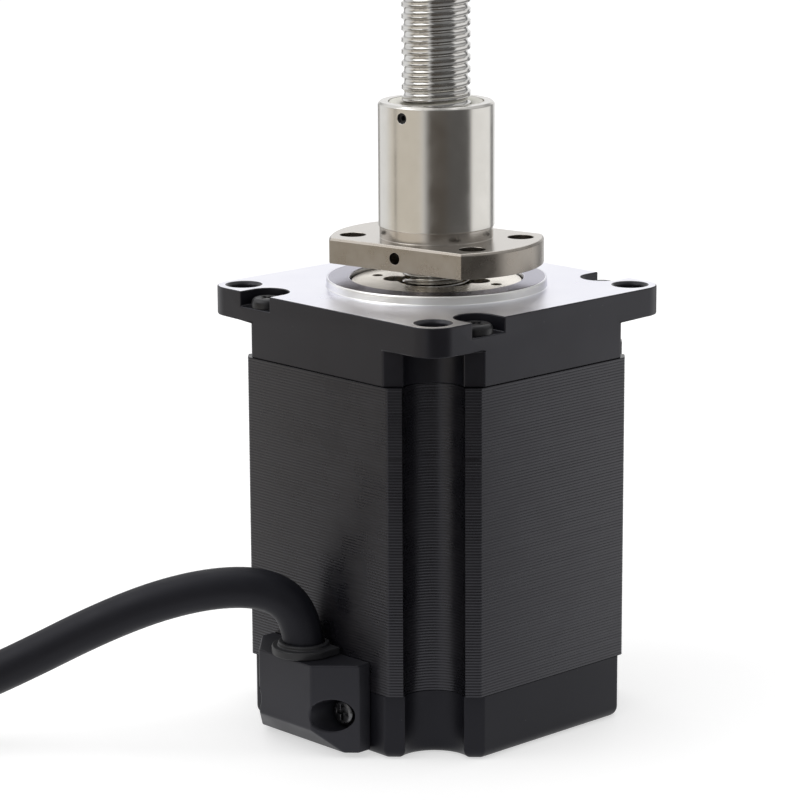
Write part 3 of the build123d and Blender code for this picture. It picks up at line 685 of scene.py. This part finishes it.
endLeads = {
    "radius": 0.8,
    "angles": [90.0, 105.0, 120.0, 135.0],
    "bends": [17.0, 15.0, 13.0, 11.0],
    "spacing": 1.75,
}
ferrule = {
    "radius": 0.65,
    "length": 7.0,
    "collarRadius": 0.62,
    "rounding": 0.2,
    "collarEnd": 1.6,
    "tubeStart": 2.0,
    "tubeRadius": 0.48,
    "tipRadius": 0.4,
    "steps": 20,
}


def turnedBy(vector, degrees):
    return Matrix.Rotation(math.radians(degrees), 3, "Z") @ vector


def cablePoints():
    # The route's points, then the coil's turns as a spiral and the curl as an arc, worked out by loops
    heading = turnedBy(Vector((1, 0, 0)), cable["heading"])
    gland = Vector((*cable["gland"], 0))
    points = [gland + heading * out + Vector((0, 0, height)) for out, height in cable["route"]]
    bend = gland + heading * cable["bendOut"] + Vector((0, 0, cable["floorLine"]))
    heading = turnedBy(heading, cable["bendAngle"])
    points += [bend + heading * cable[part] for part in ("landing", "leadIn")]
    entry = bend + heading * cable["coilEntry"]
    side = turnedBy(heading, 90)
    centre = entry + side * cable["coilRadius"]
    outward = -side
    way = 1 if outward.cross(heading).z > 0 else -1
    steps = round(cable["turns"] * cable["pointsPerTurn"])
    for k in range(steps + 1):
        share = k / steps
        radius = cable["coilRadius"] - cable["turnPitch"] * cable["turns"] * share
        points.append(centre + turnedBy(outward, way * 360 * cable["turns"] * share) * radius)
    radial = turnedBy(outward, way * 360 * cable["turns"])
    inner = cable["coilRadius"] - cable["turnPitch"] * cable["turns"]
    curlCentre = centre + radial * (inner - cable["curlRadius"])
    for k in range(1, cable["curlPoints"] + 1):
        turn = way * cable["curlAngle"] * k / cable["curlPoints"]
        points.append(curlCentre + turnedBy(radial, turn) * cable["curlRadius"])
    tangent = turnedBy(turnedBy(radial, way * cable["curlAngle"]), way * 90)
    return points, tangent, way


def makeCable():
    points, tangent, way = cablePoints()
    data = bpy.data.curves.new("motor_cable_sheath", "CURVE")
    data.dimensions = "3D"
    data.bevel_depth = cable["radius"] * mm
    data.bevel_resolution = cable["roundSteps"]
    data.resolution_u = cable["lengthSteps"]
    data.use_fill_caps = True
    spline = data.splines.new("NURBS")
    spline.points.add(len(points) - 1)
    for place, point in zip(spline.points, points):
        place.co = (*(point * mm), 1.0)
    spline.order_u = 3
    spline.use_endpoint_u = True
    spline.use_smooth = True
    piece = bpy.data.objects.new("motor_cable_sheath", data)
    bpy.context.scene.collection.objects.link(piece)
    data.materials.append(finishes["cable"])
    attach(piece, "housing")
    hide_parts("motor_cable", "cable_coil")
    return piece, points[-1], tangent, way


def placeAlong(origin, direction):
    # Matrix that stands the Z axis along a level direction
    across = Vector((0, 0, 1)).cross(direction)
    turn = Matrix((across, Vector((0, 0, 1)), direction)).transposed()
    place = np.eye(4)
    place[:3, :3] = np.array(turn)
    place[:3, 3] = np.array(origin)
    return place


def arcTube(start, centre, turn, radius, rings=24, sides=12):
    # A round tube along a level arc: ring j is centred at the start turned about the centre by its share
    share = np.radians(turn) * np.linspace(0, 1, rings)
    arm = np.array(start - centre)
    c, s = np.cos(share), np.sin(share)
    turned = np.stack([arm[0] * c - arm[1] * s, arm[0] * s + arm[1] * c, np.zeros(rings)], -1)
    middle = turned + np.array(centre)
    outward = turned / np.linalg.norm(arm)
    around = np.linspace(0, 2 * math.pi, sides, endpoint=False)
    points = (
        middle[:, None, :]
        + radius * np.cos(around)[None, :, None] * outward[:, None, :]
        + radius * np.sin(around)[None, :, None] * np.array([0, 0, 1.0])
    )
    caps = [middle[:1, None, :].repeat(sides, 1), points, middle[-1:, None, :].repeat(sides, 1)]
    return np.concatenate(caps).reshape(-1, 3), gridFaces(rings + 2, sides, True)


def sleeveProfile():
    r, length, soft, back = (endSleeve[part] for part in ("radius", "length", "rounding", "backFace"))
    inner = r - endSleeve["wall"]
    shrunk = r - endSleeve["stepDepth"]
    floor = length - endSleeve["hollowDepth"]
    return [
        (0, back),
        (inner, back),
        (r - soft, 0),
        (r, soft),
        (r, length * endSleeve["stepFrom"]),
        (shrunk, length * endSleeve["stepTo"]),
        (shrunk, length - soft),
        (r - soft, length),
        (r - 2 * soft, length),
        (inner - endSleeve["hollowSlope"], floor),
        (0, floor),
    ]


def ferruleProfile():
    r, length, soft, tube = (ferrule[part] for part in ("radius", "length", "rounding", "tubeRadius"))
    return [
        (0, 0),
        (ferrule["collarRadius"], 0),
        (r, soft),
        (r, ferrule["collarEnd"]),
        (tube, ferrule["tubeStart"]),
        (tube, length - soft),
        (ferrule["tipRadius"], length),
        (0, length),
    ]


def makeCableEnd(end, tangent, way):
    shrunkTube = turnedSolid(sleeveProfile(), endSleeve["steps"], placeAlong(end, tangent))
    sleeve = newPiece("cable_end_sleeve_shrunk", *shrunkTube)
    weld(sleeve)
    settle(sleeve, finishes["rubber"], "housing", ("cable_end_sleeve",))
    side = turnedBy(tangent, way * 90)
    count = len(endLeads["angles"])
    leadParts, ferruleParts = [], []
    for i, (angle, bend) in enumerate(zip(endLeads["angles"], endLeads["bends"])):
        offset = (i - (count - 1) / 2) * endLeads["spacing"]
        drop = Vector((0, 0, endLeads["radius"] - cable["radius"]))
        start = end + tangent * endSleeve["length"] + side * offset + drop
        centre = start + side * bend
        leadParts.append(arcTube(start, centre, way * angle, endLeads["radius"]))
        finish = centre + turnedBy(start - centre, way * angle)
        along = turnedBy(tangent, way * angle)
        ferruleParts.append(turnedSolid(ferruleProfile(), ferrule["steps"], placeAlong(finish, along)))
    leads = newPiece("cable_lead_wires", *joined(leadParts))
    weld(leads)
    settle(leads, finishes["leads"], "housing", ("cable_leads",))
    ferrules = newPiece("lead_ferrule_crimps", *joined(ferruleParts))
    weld(ferrules)
    settle(ferrules, finishes["tinned"], "housing", ("lead_ferrules",))
    return [sleeve, leads, ferrules]


sheath, cableEnd, cableTangent, cableWay = makeCable()
endPieces = makeCableEnd(cableEnd, cableTangent, cableWay)
print("cable laid")

# Ball screw
screw = {
    "lead": 2.0,
    "land": 5.9,
    "grooveCircle": 6.05,
    "grooveRadius": 0.63,
    "crestSeam": 0.035,
    "crestSeamWidth": 0.05,
    "edgeEase": 0.03,
    "arcShares": [0.97, 0.86, 0.62, 0.32, 0.0],  # points of the groove's arc, from its edge to its middle
    "phase": 0.05,
    "steps": 60,
    "runIn": 4,  # how steeply the thread rises at its lower end
    "journalLength": 10.0,
    "journalRadius": 4.0,
    "journalChamfer": 0.5,
    "journalFillet": 0.3,
    "centreHole": (1.0, 0.8),  # radius and depth
    "tailRadius": 5.0,
}


def threadProfile():
    # Radius against distance from the groove's middle: the land is flat with a fine seam along its crest,
    # and the groove is the arc whose centre lies on the ball circle
    gap = screw["grooveCircle"] - screw["land"]
    half = math.sqrt(screw["grooveRadius"] ** 2 - gap ** 2)
    ease = screw["edgeEase"]
    inside = half * np.array(screw["arcShares"])
    arc = screw["grooveCircle"] - np.sqrt(screw["grooveRadius"] ** 2 - inside ** 2)
    crest = screw["lead"] / 2
    outside = [
        (crest, screw["land"] - screw["crestSeam"]),
        (crest - screw["crestSeamWidth"], screw["land"]),
        (half + ease, screw["land"]),
    ]
    leftHalf = [(-u, r) for u, r in outside] + list(zip(-inside, arc))
    rightHalf = [(-u, r) for u, r in leftHalf[-2:0:-1]]
    return np.array(leftHalf + rightHalf)


def makeScrew():
    low, high = boxOf("ball_screw")
    bottom = boxOf("hollow_shaft")[1][2]
    top = high[2] - screw["journalLength"]
    lead, steps = screw["lead"], screw["steps"]
    profile = threadProfile()
    root = screw["grooveCircle"] - screw["grooveRadius"]
    # Helix: x = r cos a, y = r sin a, and z climbs one lead a turn, so each turn closes on the next
    turns = math.ceil((top - bottom) / lead) + 2
    turn = np.arange(turns * steps + 1) / steps
    base = math.floor(bottom / lead) * lead - lead + screw["phase"]
    z = base + lead * turn[:, None] + np.append(profile[:, 0], lead - lead / 2)[None, :]
    radius = np.broadcast_to(np.append(profile[:, 1], profile[0, 1])[None, :], z.shape)
    held = np.clip(z, bottom, top)
    cone = root + np.minimum(top - held, (held - bottom) * screw["runIn"])
    radius = np.minimum(radius, np.maximum(cone, root))
    angle = 2 * math.pi * turn[:, None]
    points = np.stack([radius * np.cos(angle), radius * np.sin(angle), held], -1)
    rows, columns = z.shape
    faces = gridFaces(rows, columns, False)
    clamped = (z <= bottom).reshape(-1)[faces].all(1) | (z >= top).reshape(-1)[faces].all(1)
    thread = (points.reshape(-1, 3), faces[~clamped])
    journal, chamfer, fillet = (screw["journal" + part] for part in ("Radius", "Chamfer", "Fillet"))
    tip = top + screw["journalLength"]
    holeRadius, holeDepth = screw["centreHole"]
    end = [
        (root, top),
        (journal + fillet, top),
        (journal, top + fillet),
        (journal, tip - chamfer),
        (journal - chamfer, tip),
        (holeRadius, tip),
        (0, tip - holeDepth),
    ]
    tail = [(root, bottom), (screw["tailRadius"], bottom), (screw["tailRadius"], low[2]), (0, low[2])]
    ends = [turnedSolid(end, steps), turnedSolid(tail, steps)]
    piece = newPiece("ball_screw_thread", *joined([thread, *ends]))
    weld(piece)
    settle(piece, finishes["thread"], "rotor", ("ball_screw",), sharp=50.0)


makeScrew()
print("screw cut")

# Stator core with its laminations
core = {
    "half": 28.3,
    "bevel": 10.96,
    "rounding": 0.8,
    "roundingSteps": 5,
    "scoopRadius": 5.3,
    "scoopSteps": 19,
    "boltAt": 23.57,
    "lamination": 0.5,
    "seamDepth": 0.035,
    "seamWidth": 0.08,
    "unevenness": 0.006,
    "tieAt": (15.4, 25.3),
    "tieClear": 2.2,
    "wallHeight": 1.0,  # triangles taller than this belong to a wall, not to an end face
    "seed": 11,
}


def cornerOutline():
    # One quarter of the core's outline: a rounded corner, the bevel, the scoop round the bolt and back
    half, bevel, ease = core["half"], core["bevel"], core["rounding"]
    along = np.array([-1, 1]) / math.sqrt(2)
    out = np.array([1, 1]) / math.sqrt(2)
    tangent = ease * math.tan(math.pi / 8)
    first = np.array([half, half - bevel])
    centre = first - [ease, tangent]
    turn = np.radians(np.linspace(0, 45, core["roundingSteps"]))
    rounded = centre + ease * np.stack([np.cos(turn), np.sin(turn)], -1)
    bolt = np.array([core["boltAt"]] * 2)
    reach = (2 * core["boltAt"] - (2 * half - bevel)) / math.sqrt(2)
    widest = math.acos(reach / core["scoopRadius"])
    swing = np.linspace(widest, -widest, core["scoopSteps"])[:, None]
    scoop = bolt - core["scoopRadius"] * (out * np.cos(swing) + along * np.sin(swing))
    secondRounded = rounded[::-1, ::-1]
    return np.concatenate([[[half, 0.0]], rounded, scoop, secondRounded])


def coreOutline():
    # The quarter turned four times
    quarter = cornerOutline()
    parts = []
    for i in range(4):
        c, s = math.cos(i * math.pi / 2), math.sin(i * math.pi / 2)
        parts.append(quarter @ np.array([[c, s], [-s, c]]))
    return np.concatenate(parts)


def makeCore():
    low, high = boxOf("stator_core")
    count = round((high[2] - low[2]) / core["lamination"])
    outline = coreOutline()
    along = np.roll(outline, -1, 0) - np.roll(outline, 1, 0)
    outward = np.stack([along[:, 1], -along[:, 0]], -1) / np.linalg.norm(along, axis=1)[:, None]
    # Each sheet is a seam row sunk by seamDepth, then two rows at the wall, moved in or out a little
    chance = np.random.default_rng(core["seed"])
    uneven = chance.uniform(-1, 1, count) * core["unevenness"]
    step = (high[2] - low[2]) / count
    bottoms = low[2] + step * np.arange(count)
    z = np.stack([bottoms, bottoms + core["seamWidth"], bottoms + step - core["seamWidth"]], 1).reshape(-1)
    sunk = np.stack([np.full(count, core["seamDepth"]), uneven, uneven], 1).reshape(-1)
    seam = np.tile([1.0, 0.0, 0.0], count)
    z, sunk, seam = (np.concatenate([[a], v, [a2, b]]) for v, a, a2, b in (
        (z, low[2], high[2], high[2]),
        (sunk, 0.0, core["seamDepth"], 0.0),
        (seam, 0.0, 1.0, 0.0),
    ))
    flat = outline[None, :, :] - sunk[:, None, None] * outward[None, :, :]
    tall = np.broadcast_to(z[:, None, None], (len(z), len(outline), 1))
    wall = np.concatenate([flat, tall], -1).reshape(-1, 3)
    wallFaces = gridFaces(len(z), len(outline), True)
    # The node's bore, slots and end faces stay; its plain outer wall makes way for the sheets
    source = nodes["stator_core"].data
    places = np.zeros(len(source.vertices) * 3)
    source.vertices.foreach_get("co", places)
    places = places.reshape(-1, 3) / mm
    corners = np.zeros(len(source.loops), int)
    source.loops.foreach_get("vertex_index", corners)
    triangles = corners.reshape(-1, 3)
    middle = places[triangles].mean(1)
    upright = np.ptp(places[triangles][:, :, 2], axis=1) > core["wallHeight"]
    outer = np.linalg.norm(middle[:, :2], axis=1) > core["half"] - core["rounding"]
    byTie = np.zeros(len(middle), bool)
    for i in range(4):
        c, s = math.cos(i * math.pi / 2), math.sin(i * math.pi / 2)
        tie = np.array(core["tieAt"]) @ np.array([[c, s], [-s, c]])
        byTie |= np.linalg.norm(middle[:, :2] - tie, axis=1) < core["tieClear"]
    kept = triangles[~(upright & outer & ~byTie)]
    faces = wallFaces.tolist() + (kept + len(wall)).tolist()
    piece = newPiece("stator_core_laminations", np.concatenate([wall, places]), faces)
    # The seam rows are marked for the lamination finish, which darkens them as painted shade
    mark = piece.data.attributes.new("seam", "FLOAT", "POINT")
    mark.data.foreach_set("value", np.concatenate([np.repeat(seam, len(outline)), np.zeros(len(places))]))
    work = bmesh.new()
    work.from_mesh(piece.data)
    bmesh.ops.remove_doubles(work, verts=work.verts, dist=mending["merge"] * mm)
    bmesh.ops.delete(work, geom=[v for v in work.verts if not v.link_faces], context="VERTS")
    work.to_mesh(piece.data)
    work.free()
    settle(piece, laminationFinishWithSeamShade, "housing", ("stator_core",), sharp=40.0)


makeCore()
print("laminations stacked")

# Wiper rings of the nut
wiper = {"screwGap": 0.12, "edge": 0.25, "dish": 0.35, "middleDish": 0.3, "steps": 72}


def makeWiper(node):
    # A ring whose outer face dishes down to a thin lip at the screw
    low, high = boxOf(node)
    outer = high[0]
    inner = screw["land"] + wiper["screwGap"]
    top, bottom, edge, dish = high[2], low[2], wiper["edge"], wiper["dish"]
    middle, middleDish = (inner + outer) / 2, dish * wiper["middleDish"]
    profile = [
        (outer, bottom + edge),
        (outer, top - edge),
        (outer - edge, top),
        (middle, top - middleDish),
        (inner + edge, top - dish),
        (inner, top - dish - edge),
        (inner, bottom + dish + edge),
        (inner + edge, bottom + dish),
        (middle, bottom + middleDish),
        (outer - edge, bottom),
        (outer, bottom + edge),
    ]
    piece = newPiece(node + "_ring", *turnedSolid(profile, wiper["steps"]))
    weld(piece)
    settle(piece, finishes["wiper"], "nut", (node,), sharp=50.0)


makeWiper("nut_upper_wiper")
makeWiper("nut_lower_wiper")

# Pieces that keep the solid's shape, with their edges broken: node, finish, slot and width of the broken edge
dressed = [
    ("front_end_cap", frontCapPaintMachinedFaceAndPilotShade, "black_paint", 0.22),
    ("rear_end_cap", rearCapPaintedShadeMaterial, "black_paint", 0.18),
    ("ball_nut", nutFinish, "ground_steel", 0.10),
    ("front_retainer_ring", finishes["nickel"], "nickel", 0.10),
    ("cable_cover", finishes["cover"], "black_plastic", 0.30),
    ("cable_gland", finishes["rubber"], "black_rubber", 0.25),
    ("housing_screws", finishes["blackSteel"], "black_steel", 0.06),
    ("cable_cover_screws", finishes["zinc"], "bright_screw", 0.05),
    ("screw_lock_nut", finishes["brass"], "brass", 0.08),
]
for node, look, slotName, bevel in dressed:
    dressedCopy(node, look, bevel)
print("housing and nut dressed")

# Inner pieces keep their meshes and take a finish
innerFinish = {
    "winding_bobbins": "bobbin",
    "phase_windings": "copper",
    "winding_terminal_board": "board",
    "internal_leads": "leads",
    "preload_wave_washer": "blued",
    "front_bearing_outer_ring": "bearing",
    "rear_bearing_outer_ring": "bearing",
    "front_bearing_inner_ring": "bearing",
    "rear_bearing_inner_ring": "bearing",
    "front_bearing_balls": "bearing",
    "rear_bearing_balls": "bearing",
    "front_bearing_cage": "cage",
    "rear_bearing_cage": "cage",
    "hollow_shaft": "blued",
    "rotor_front_cup": "blued",
    "rotor_rear_cup": "blued",
    "rotor_magnet": "magnet",
    "ball_returns": "wiper",
    "nut_balls": "bearing",
    "wiper_set_screw": "blackSteel",
}
for node, look in innerFinish.items():
    for place in nodes[node].material_slots:
        place.material = finishes[look]

# Floor, backdrop and light
stage = {
    "floorHalf": 12000.0,
    "floorTone": 0.60,
    "floorGlow": 0.56,
    "floorRoughness": 0.9,
    "floorGloss": 0.1,
    "worldLight": 0.62,  # strength of the even light that falls on things
    "tentEdge": (60.0, 130.0),  # distances over which the reflected room begins
    "tentRadius": 1600.0,
    "tentMiddle": 0.5,
    "tentLift": 0.2,
    "tentSteps": 96,
    "domeRows": 22,
    "domeReach": (4, 86),
    "wallFoot": (20.0, 160.0),  # heights over the floor between which its colour changes to the wall's
    "lowSky": (14.0, 40.0),  # elevations between which the walls change to the ceiling
}
# Zones of the room that metal and paint reflect: directions in degrees from and to, with soft ends
tentZones = {
    "left": {"from": -150.0, "to": -72.0, "softFrom": 16.0, "softTo": 6.0},
    "right": {"from": 20.0, "to": 88.0, "softFrom": 6.0, "softTo": 4.0},
    "slot": {"from": -134.0, "to": -129.5, "softFrom": 1.5, "softTo": 1.5},
    "dark": {"from": -65.0, "to": 26.0, "softFrom": 10.0, "softTo": 6.0},
    "shade": {"from": -22.0, "to": 26.0, "softFrom": 12.0, "softTo": 6.0},
    "rightRim": {"from": 89.0, "to": 107.0, "softFrom": 3.0, "softTo": 3.0},
    "leftRim": {"from": 153.0, "to": 168.0, "softFrom": 4.0, "softTo": 4.0},
}
floorLevels = {
    "left": (0.80, 0.745, 0.655),
    "right": (1.12, 1.11, 1.10),
    "slot": (0.33, 0.31, 0.28),
    "dark": (0.108, 0.095, 0.083),
    "shade": (0.118, 0.114, 0.111),
    "rightRim": (0.30, 0.30, 0.30),
    "leftRim": (0.34, 0.33, 0.32),
}
wallLevels = {
    "left": (0.20, 0.185, 0.165),
    "right": (0.36, 0.355, 0.35),
    "slot": (0.20, 0.20, 0.20),
    "dark": (0.30, 0.295, 0.29),
    "shade": (0.32, 0.32, 0.32),
    "rightRim": (0.25, 0.25, 0.25),
    "leftRim": (0.50, 0.50, 0.50),
}
ceilingLevels = {
    "left": (0.75, 0.74, 0.72),
    "right": (0.70, 0.70, 0.70),
    "slot": (0.75, 0.74, 0.72),
    "dark": (0.22, 0.22, 0.22),
    "shade": (0.24, 0.24, 0.24),
    "rightRim": (0.50, 0.50, 0.50),
    "leftRim": (0.80, 0.80, 0.80),
}


def seenDirectly(tree):
    # 1 for rays from the camera, a mirror or glass, 0 for the light that falls on things
    path = tree.nodes.new("ShaderNodeLightPath")
    shiny = mathNode(tree, "MAXIMUM", path.outputs["Is Glossy Ray"], path.outputs["Is Transmission Ray"])
    return mathNode(tree, "MAXIMUM", path.outputs["Is Camera Ray"], shiny)


def makeFloor():
    half, height = stage["floorHalf"], boxOf("rear_end_cap")[0][2]
    corners = [(-half, -half, height), (half, -half, height), (half, half, height), (-half, half, height)]
    floor = newPiece("floor", corners, [(0, 1, 2, 3)])
    material = bpy.data.materials.new("paleFloor")
    material.use_nodes = True
    tree = material.node_tree
    shader = tree.nodes["Principled BSDF"]
    shader.inputs["Base Color"].default_value = (stage["floorTone"],) * 3 + (1.0,)
    shader.inputs["Emission Color"].default_value = (1.0, 1.0, 1.0, 1.0)
    glow = mathNode(tree, "MULTIPLY", seenDirectly(tree), stage["floorGlow"])
    tree.links.new(glow, shader.inputs["Emission Strength"])
    shader.inputs["Roughness"].default_value = stage["floorRoughness"]
    shader.inputs["Specular IOR Level"].default_value = stage["floorGloss"]
    floor.data.materials.append(material)
    return height


def zoneShare(tree, azimuth, zone):
    # 1 inside the zone, falling to 0 over its soft ends
    begin, end = math.radians(zone["from"]), math.radians(zone["to"])
    softBegin, softEnd = math.radians(zone["softFrom"]), math.radians(zone["softTo"])
    rising = mappedValue(tree, azimuth, 0.0, 1.0, begin - softBegin, begin + softBegin)
    falling = mappedValue(tree, azimuth, 1.0, 0.0, end - softEnd, end + softEnd)
    return mathNode(tree, "MULTIPLY", rising, falling)


def roomColour(tree, azimuth, levels):
    # White, changed to each zone's level where the direction lies in it
    colour = (1.0, 1.0, 1.0)
    for name, zone in tentZones.items():
        colour = mixedColour(tree, zoneShare(tree, azimuth, zone), colour, levels[name])
    return colour


def makeTent(floorHeight):
    # The reflected room: a ring over the floor and a dome, which only mirrored rays meet.
    # Its profile runs out along the floor, then up an arc, and is turned about the screw's axis.
    r, steps = stage["tentRadius"], stage["tentSteps"]
    rows = [(stage["tentEdge"][0], 0.0), (stage["tentEdge"][1], 0.0), (r * stage["tentMiddle"], 0.0), (r, 0.0)]
    rise = np.radians(np.linspace(*stage["domeReach"], stage["domeRows"]))
    rows += [(r * math.cos(e), r * math.sin(e)) for e in rise]
    points = revolvedPoints(rows, steps)
    points[:, 2] += floorHeight + stage["tentLift"]
    tent = newPiece("reflectedRoom", points, gridFaces(len(rows), steps, True))
    material = bpy.data.materials.new("reflectedRoom")
    material.use_nodes = True
    tree = material.node_tree
    shader = tree.nodes["Principled BSDF"]
    parts = tree.nodes.new("ShaderNodeSeparateXYZ")
    tree.links.new(objectPlace(tree), parts.inputs[0])
    azimuth = mathNode(tree, "ARCTAN2", parts.outputs["Y"], parts.outputs["X"])
    distance = tree.nodes.new("ShaderNodeVectorMath")
    distance.operation = "LENGTH"
    tree.links.new(objectPlace(tree, (perMetre, perMetre, 0.0)), distance.inputs[0])
    floorPart = roomColour(tree, azimuth, floorLevels)
    away = mappedValue(tree, distance.outputs["Value"], 0.0, 1.0, *stage["tentEdge"])
    floorPart = mixedColour(tree, away, (1.0, 1.0, 1.0), floorPart)
    low, high = (r * math.sin(math.radians(e)) + floorHeight for e in stage["lowSky"])
    ceiling = mappedValue(tree, parts.outputs["Z"], 0.0, 1.0, low, high)
    wallPart, ceilingPart = (roomColour(tree, azimuth, levels) for levels in (wallLevels, ceilingLevels))
    walls = mixedColour(tree, ceiling, wallPart, ceilingPart)
    low, high = (floorHeight + foot for foot in stage["wallFoot"])
    onWall = mappedValue(tree, parts.outputs["Z"], 0.0, 1.0, low, high)
    tree.links.new(mixedColour(tree, onWall, floorPart, walls), shader.inputs["Emission Color"])
    shader.inputs["Base Color"].default_value = (0.0, 0.0, 0.0, 1.0)
    shader.inputs["Specular IOR Level"].default_value = 0.0
    shader.inputs["Emission Strength"].default_value = 1.0
    tent.data.materials.append(material)
    tent.visible_camera = False
    tent.visible_diffuse = False
    tent.visible_transmission = False
    tent.visible_shadow = False


def makeWorld():
    world = bpy.data.worlds.new("studio")
    bpy.context.scene.world = world
    world.use_nodes = True
    tree = world.node_tree
    background = tree.nodes["Background"]
    background.inputs["Color"].default_value = (1.0, 1.0, 1.0, 1.0)
    strength = mixedValue(tree, seenDirectly(tree), stage["worldLight"], 1.0)
    tree.links.new(strength, background.inputs["Strength"])


# Directions in degrees, distances and sizes in metres, power in watts
lamps = [
    {"name": "leftSoftbox", "azimuth": -118.0, "elevation": 42.0, "distance": 1.1, "size": 0.9, "power": 4.0},
    {"name": "topSoftbox", "azimuth": 130.0, "elevation": 70.0, "distance": 1.2, "size": 1.0, "power": 3.0},
]


def makeLamp(lamp):
    data = bpy.data.lights.new(lamp["name"], "AREA")
    data.size = lamp["size"]
    data.energy = lamp["power"]
    light = bpy.data.objects.new(lamp["name"], data)
    bpy.context.scene.collection.objects.link(light)
    azimuth, elevation = math.radians(lamp["azimuth"]), math.radians(lamp["elevation"])
    direction = Vector((
        math.cos(azimuth) * math.cos(elevation),
        math.sin(azimuth) * math.cos(elevation),
        math.sin(elevation),
    ))
    light.location = direction * lamp["distance"]
    light.rotation_euler = direction.to_track_quat("Z", "Y").to_euler()


makeTent(makeFloor())
makeWorld()
for lamp in lamps:
    makeLamp(lamp)
bpy.context.scene.view_settings.view_transform = "Standard"
print("stage lit")
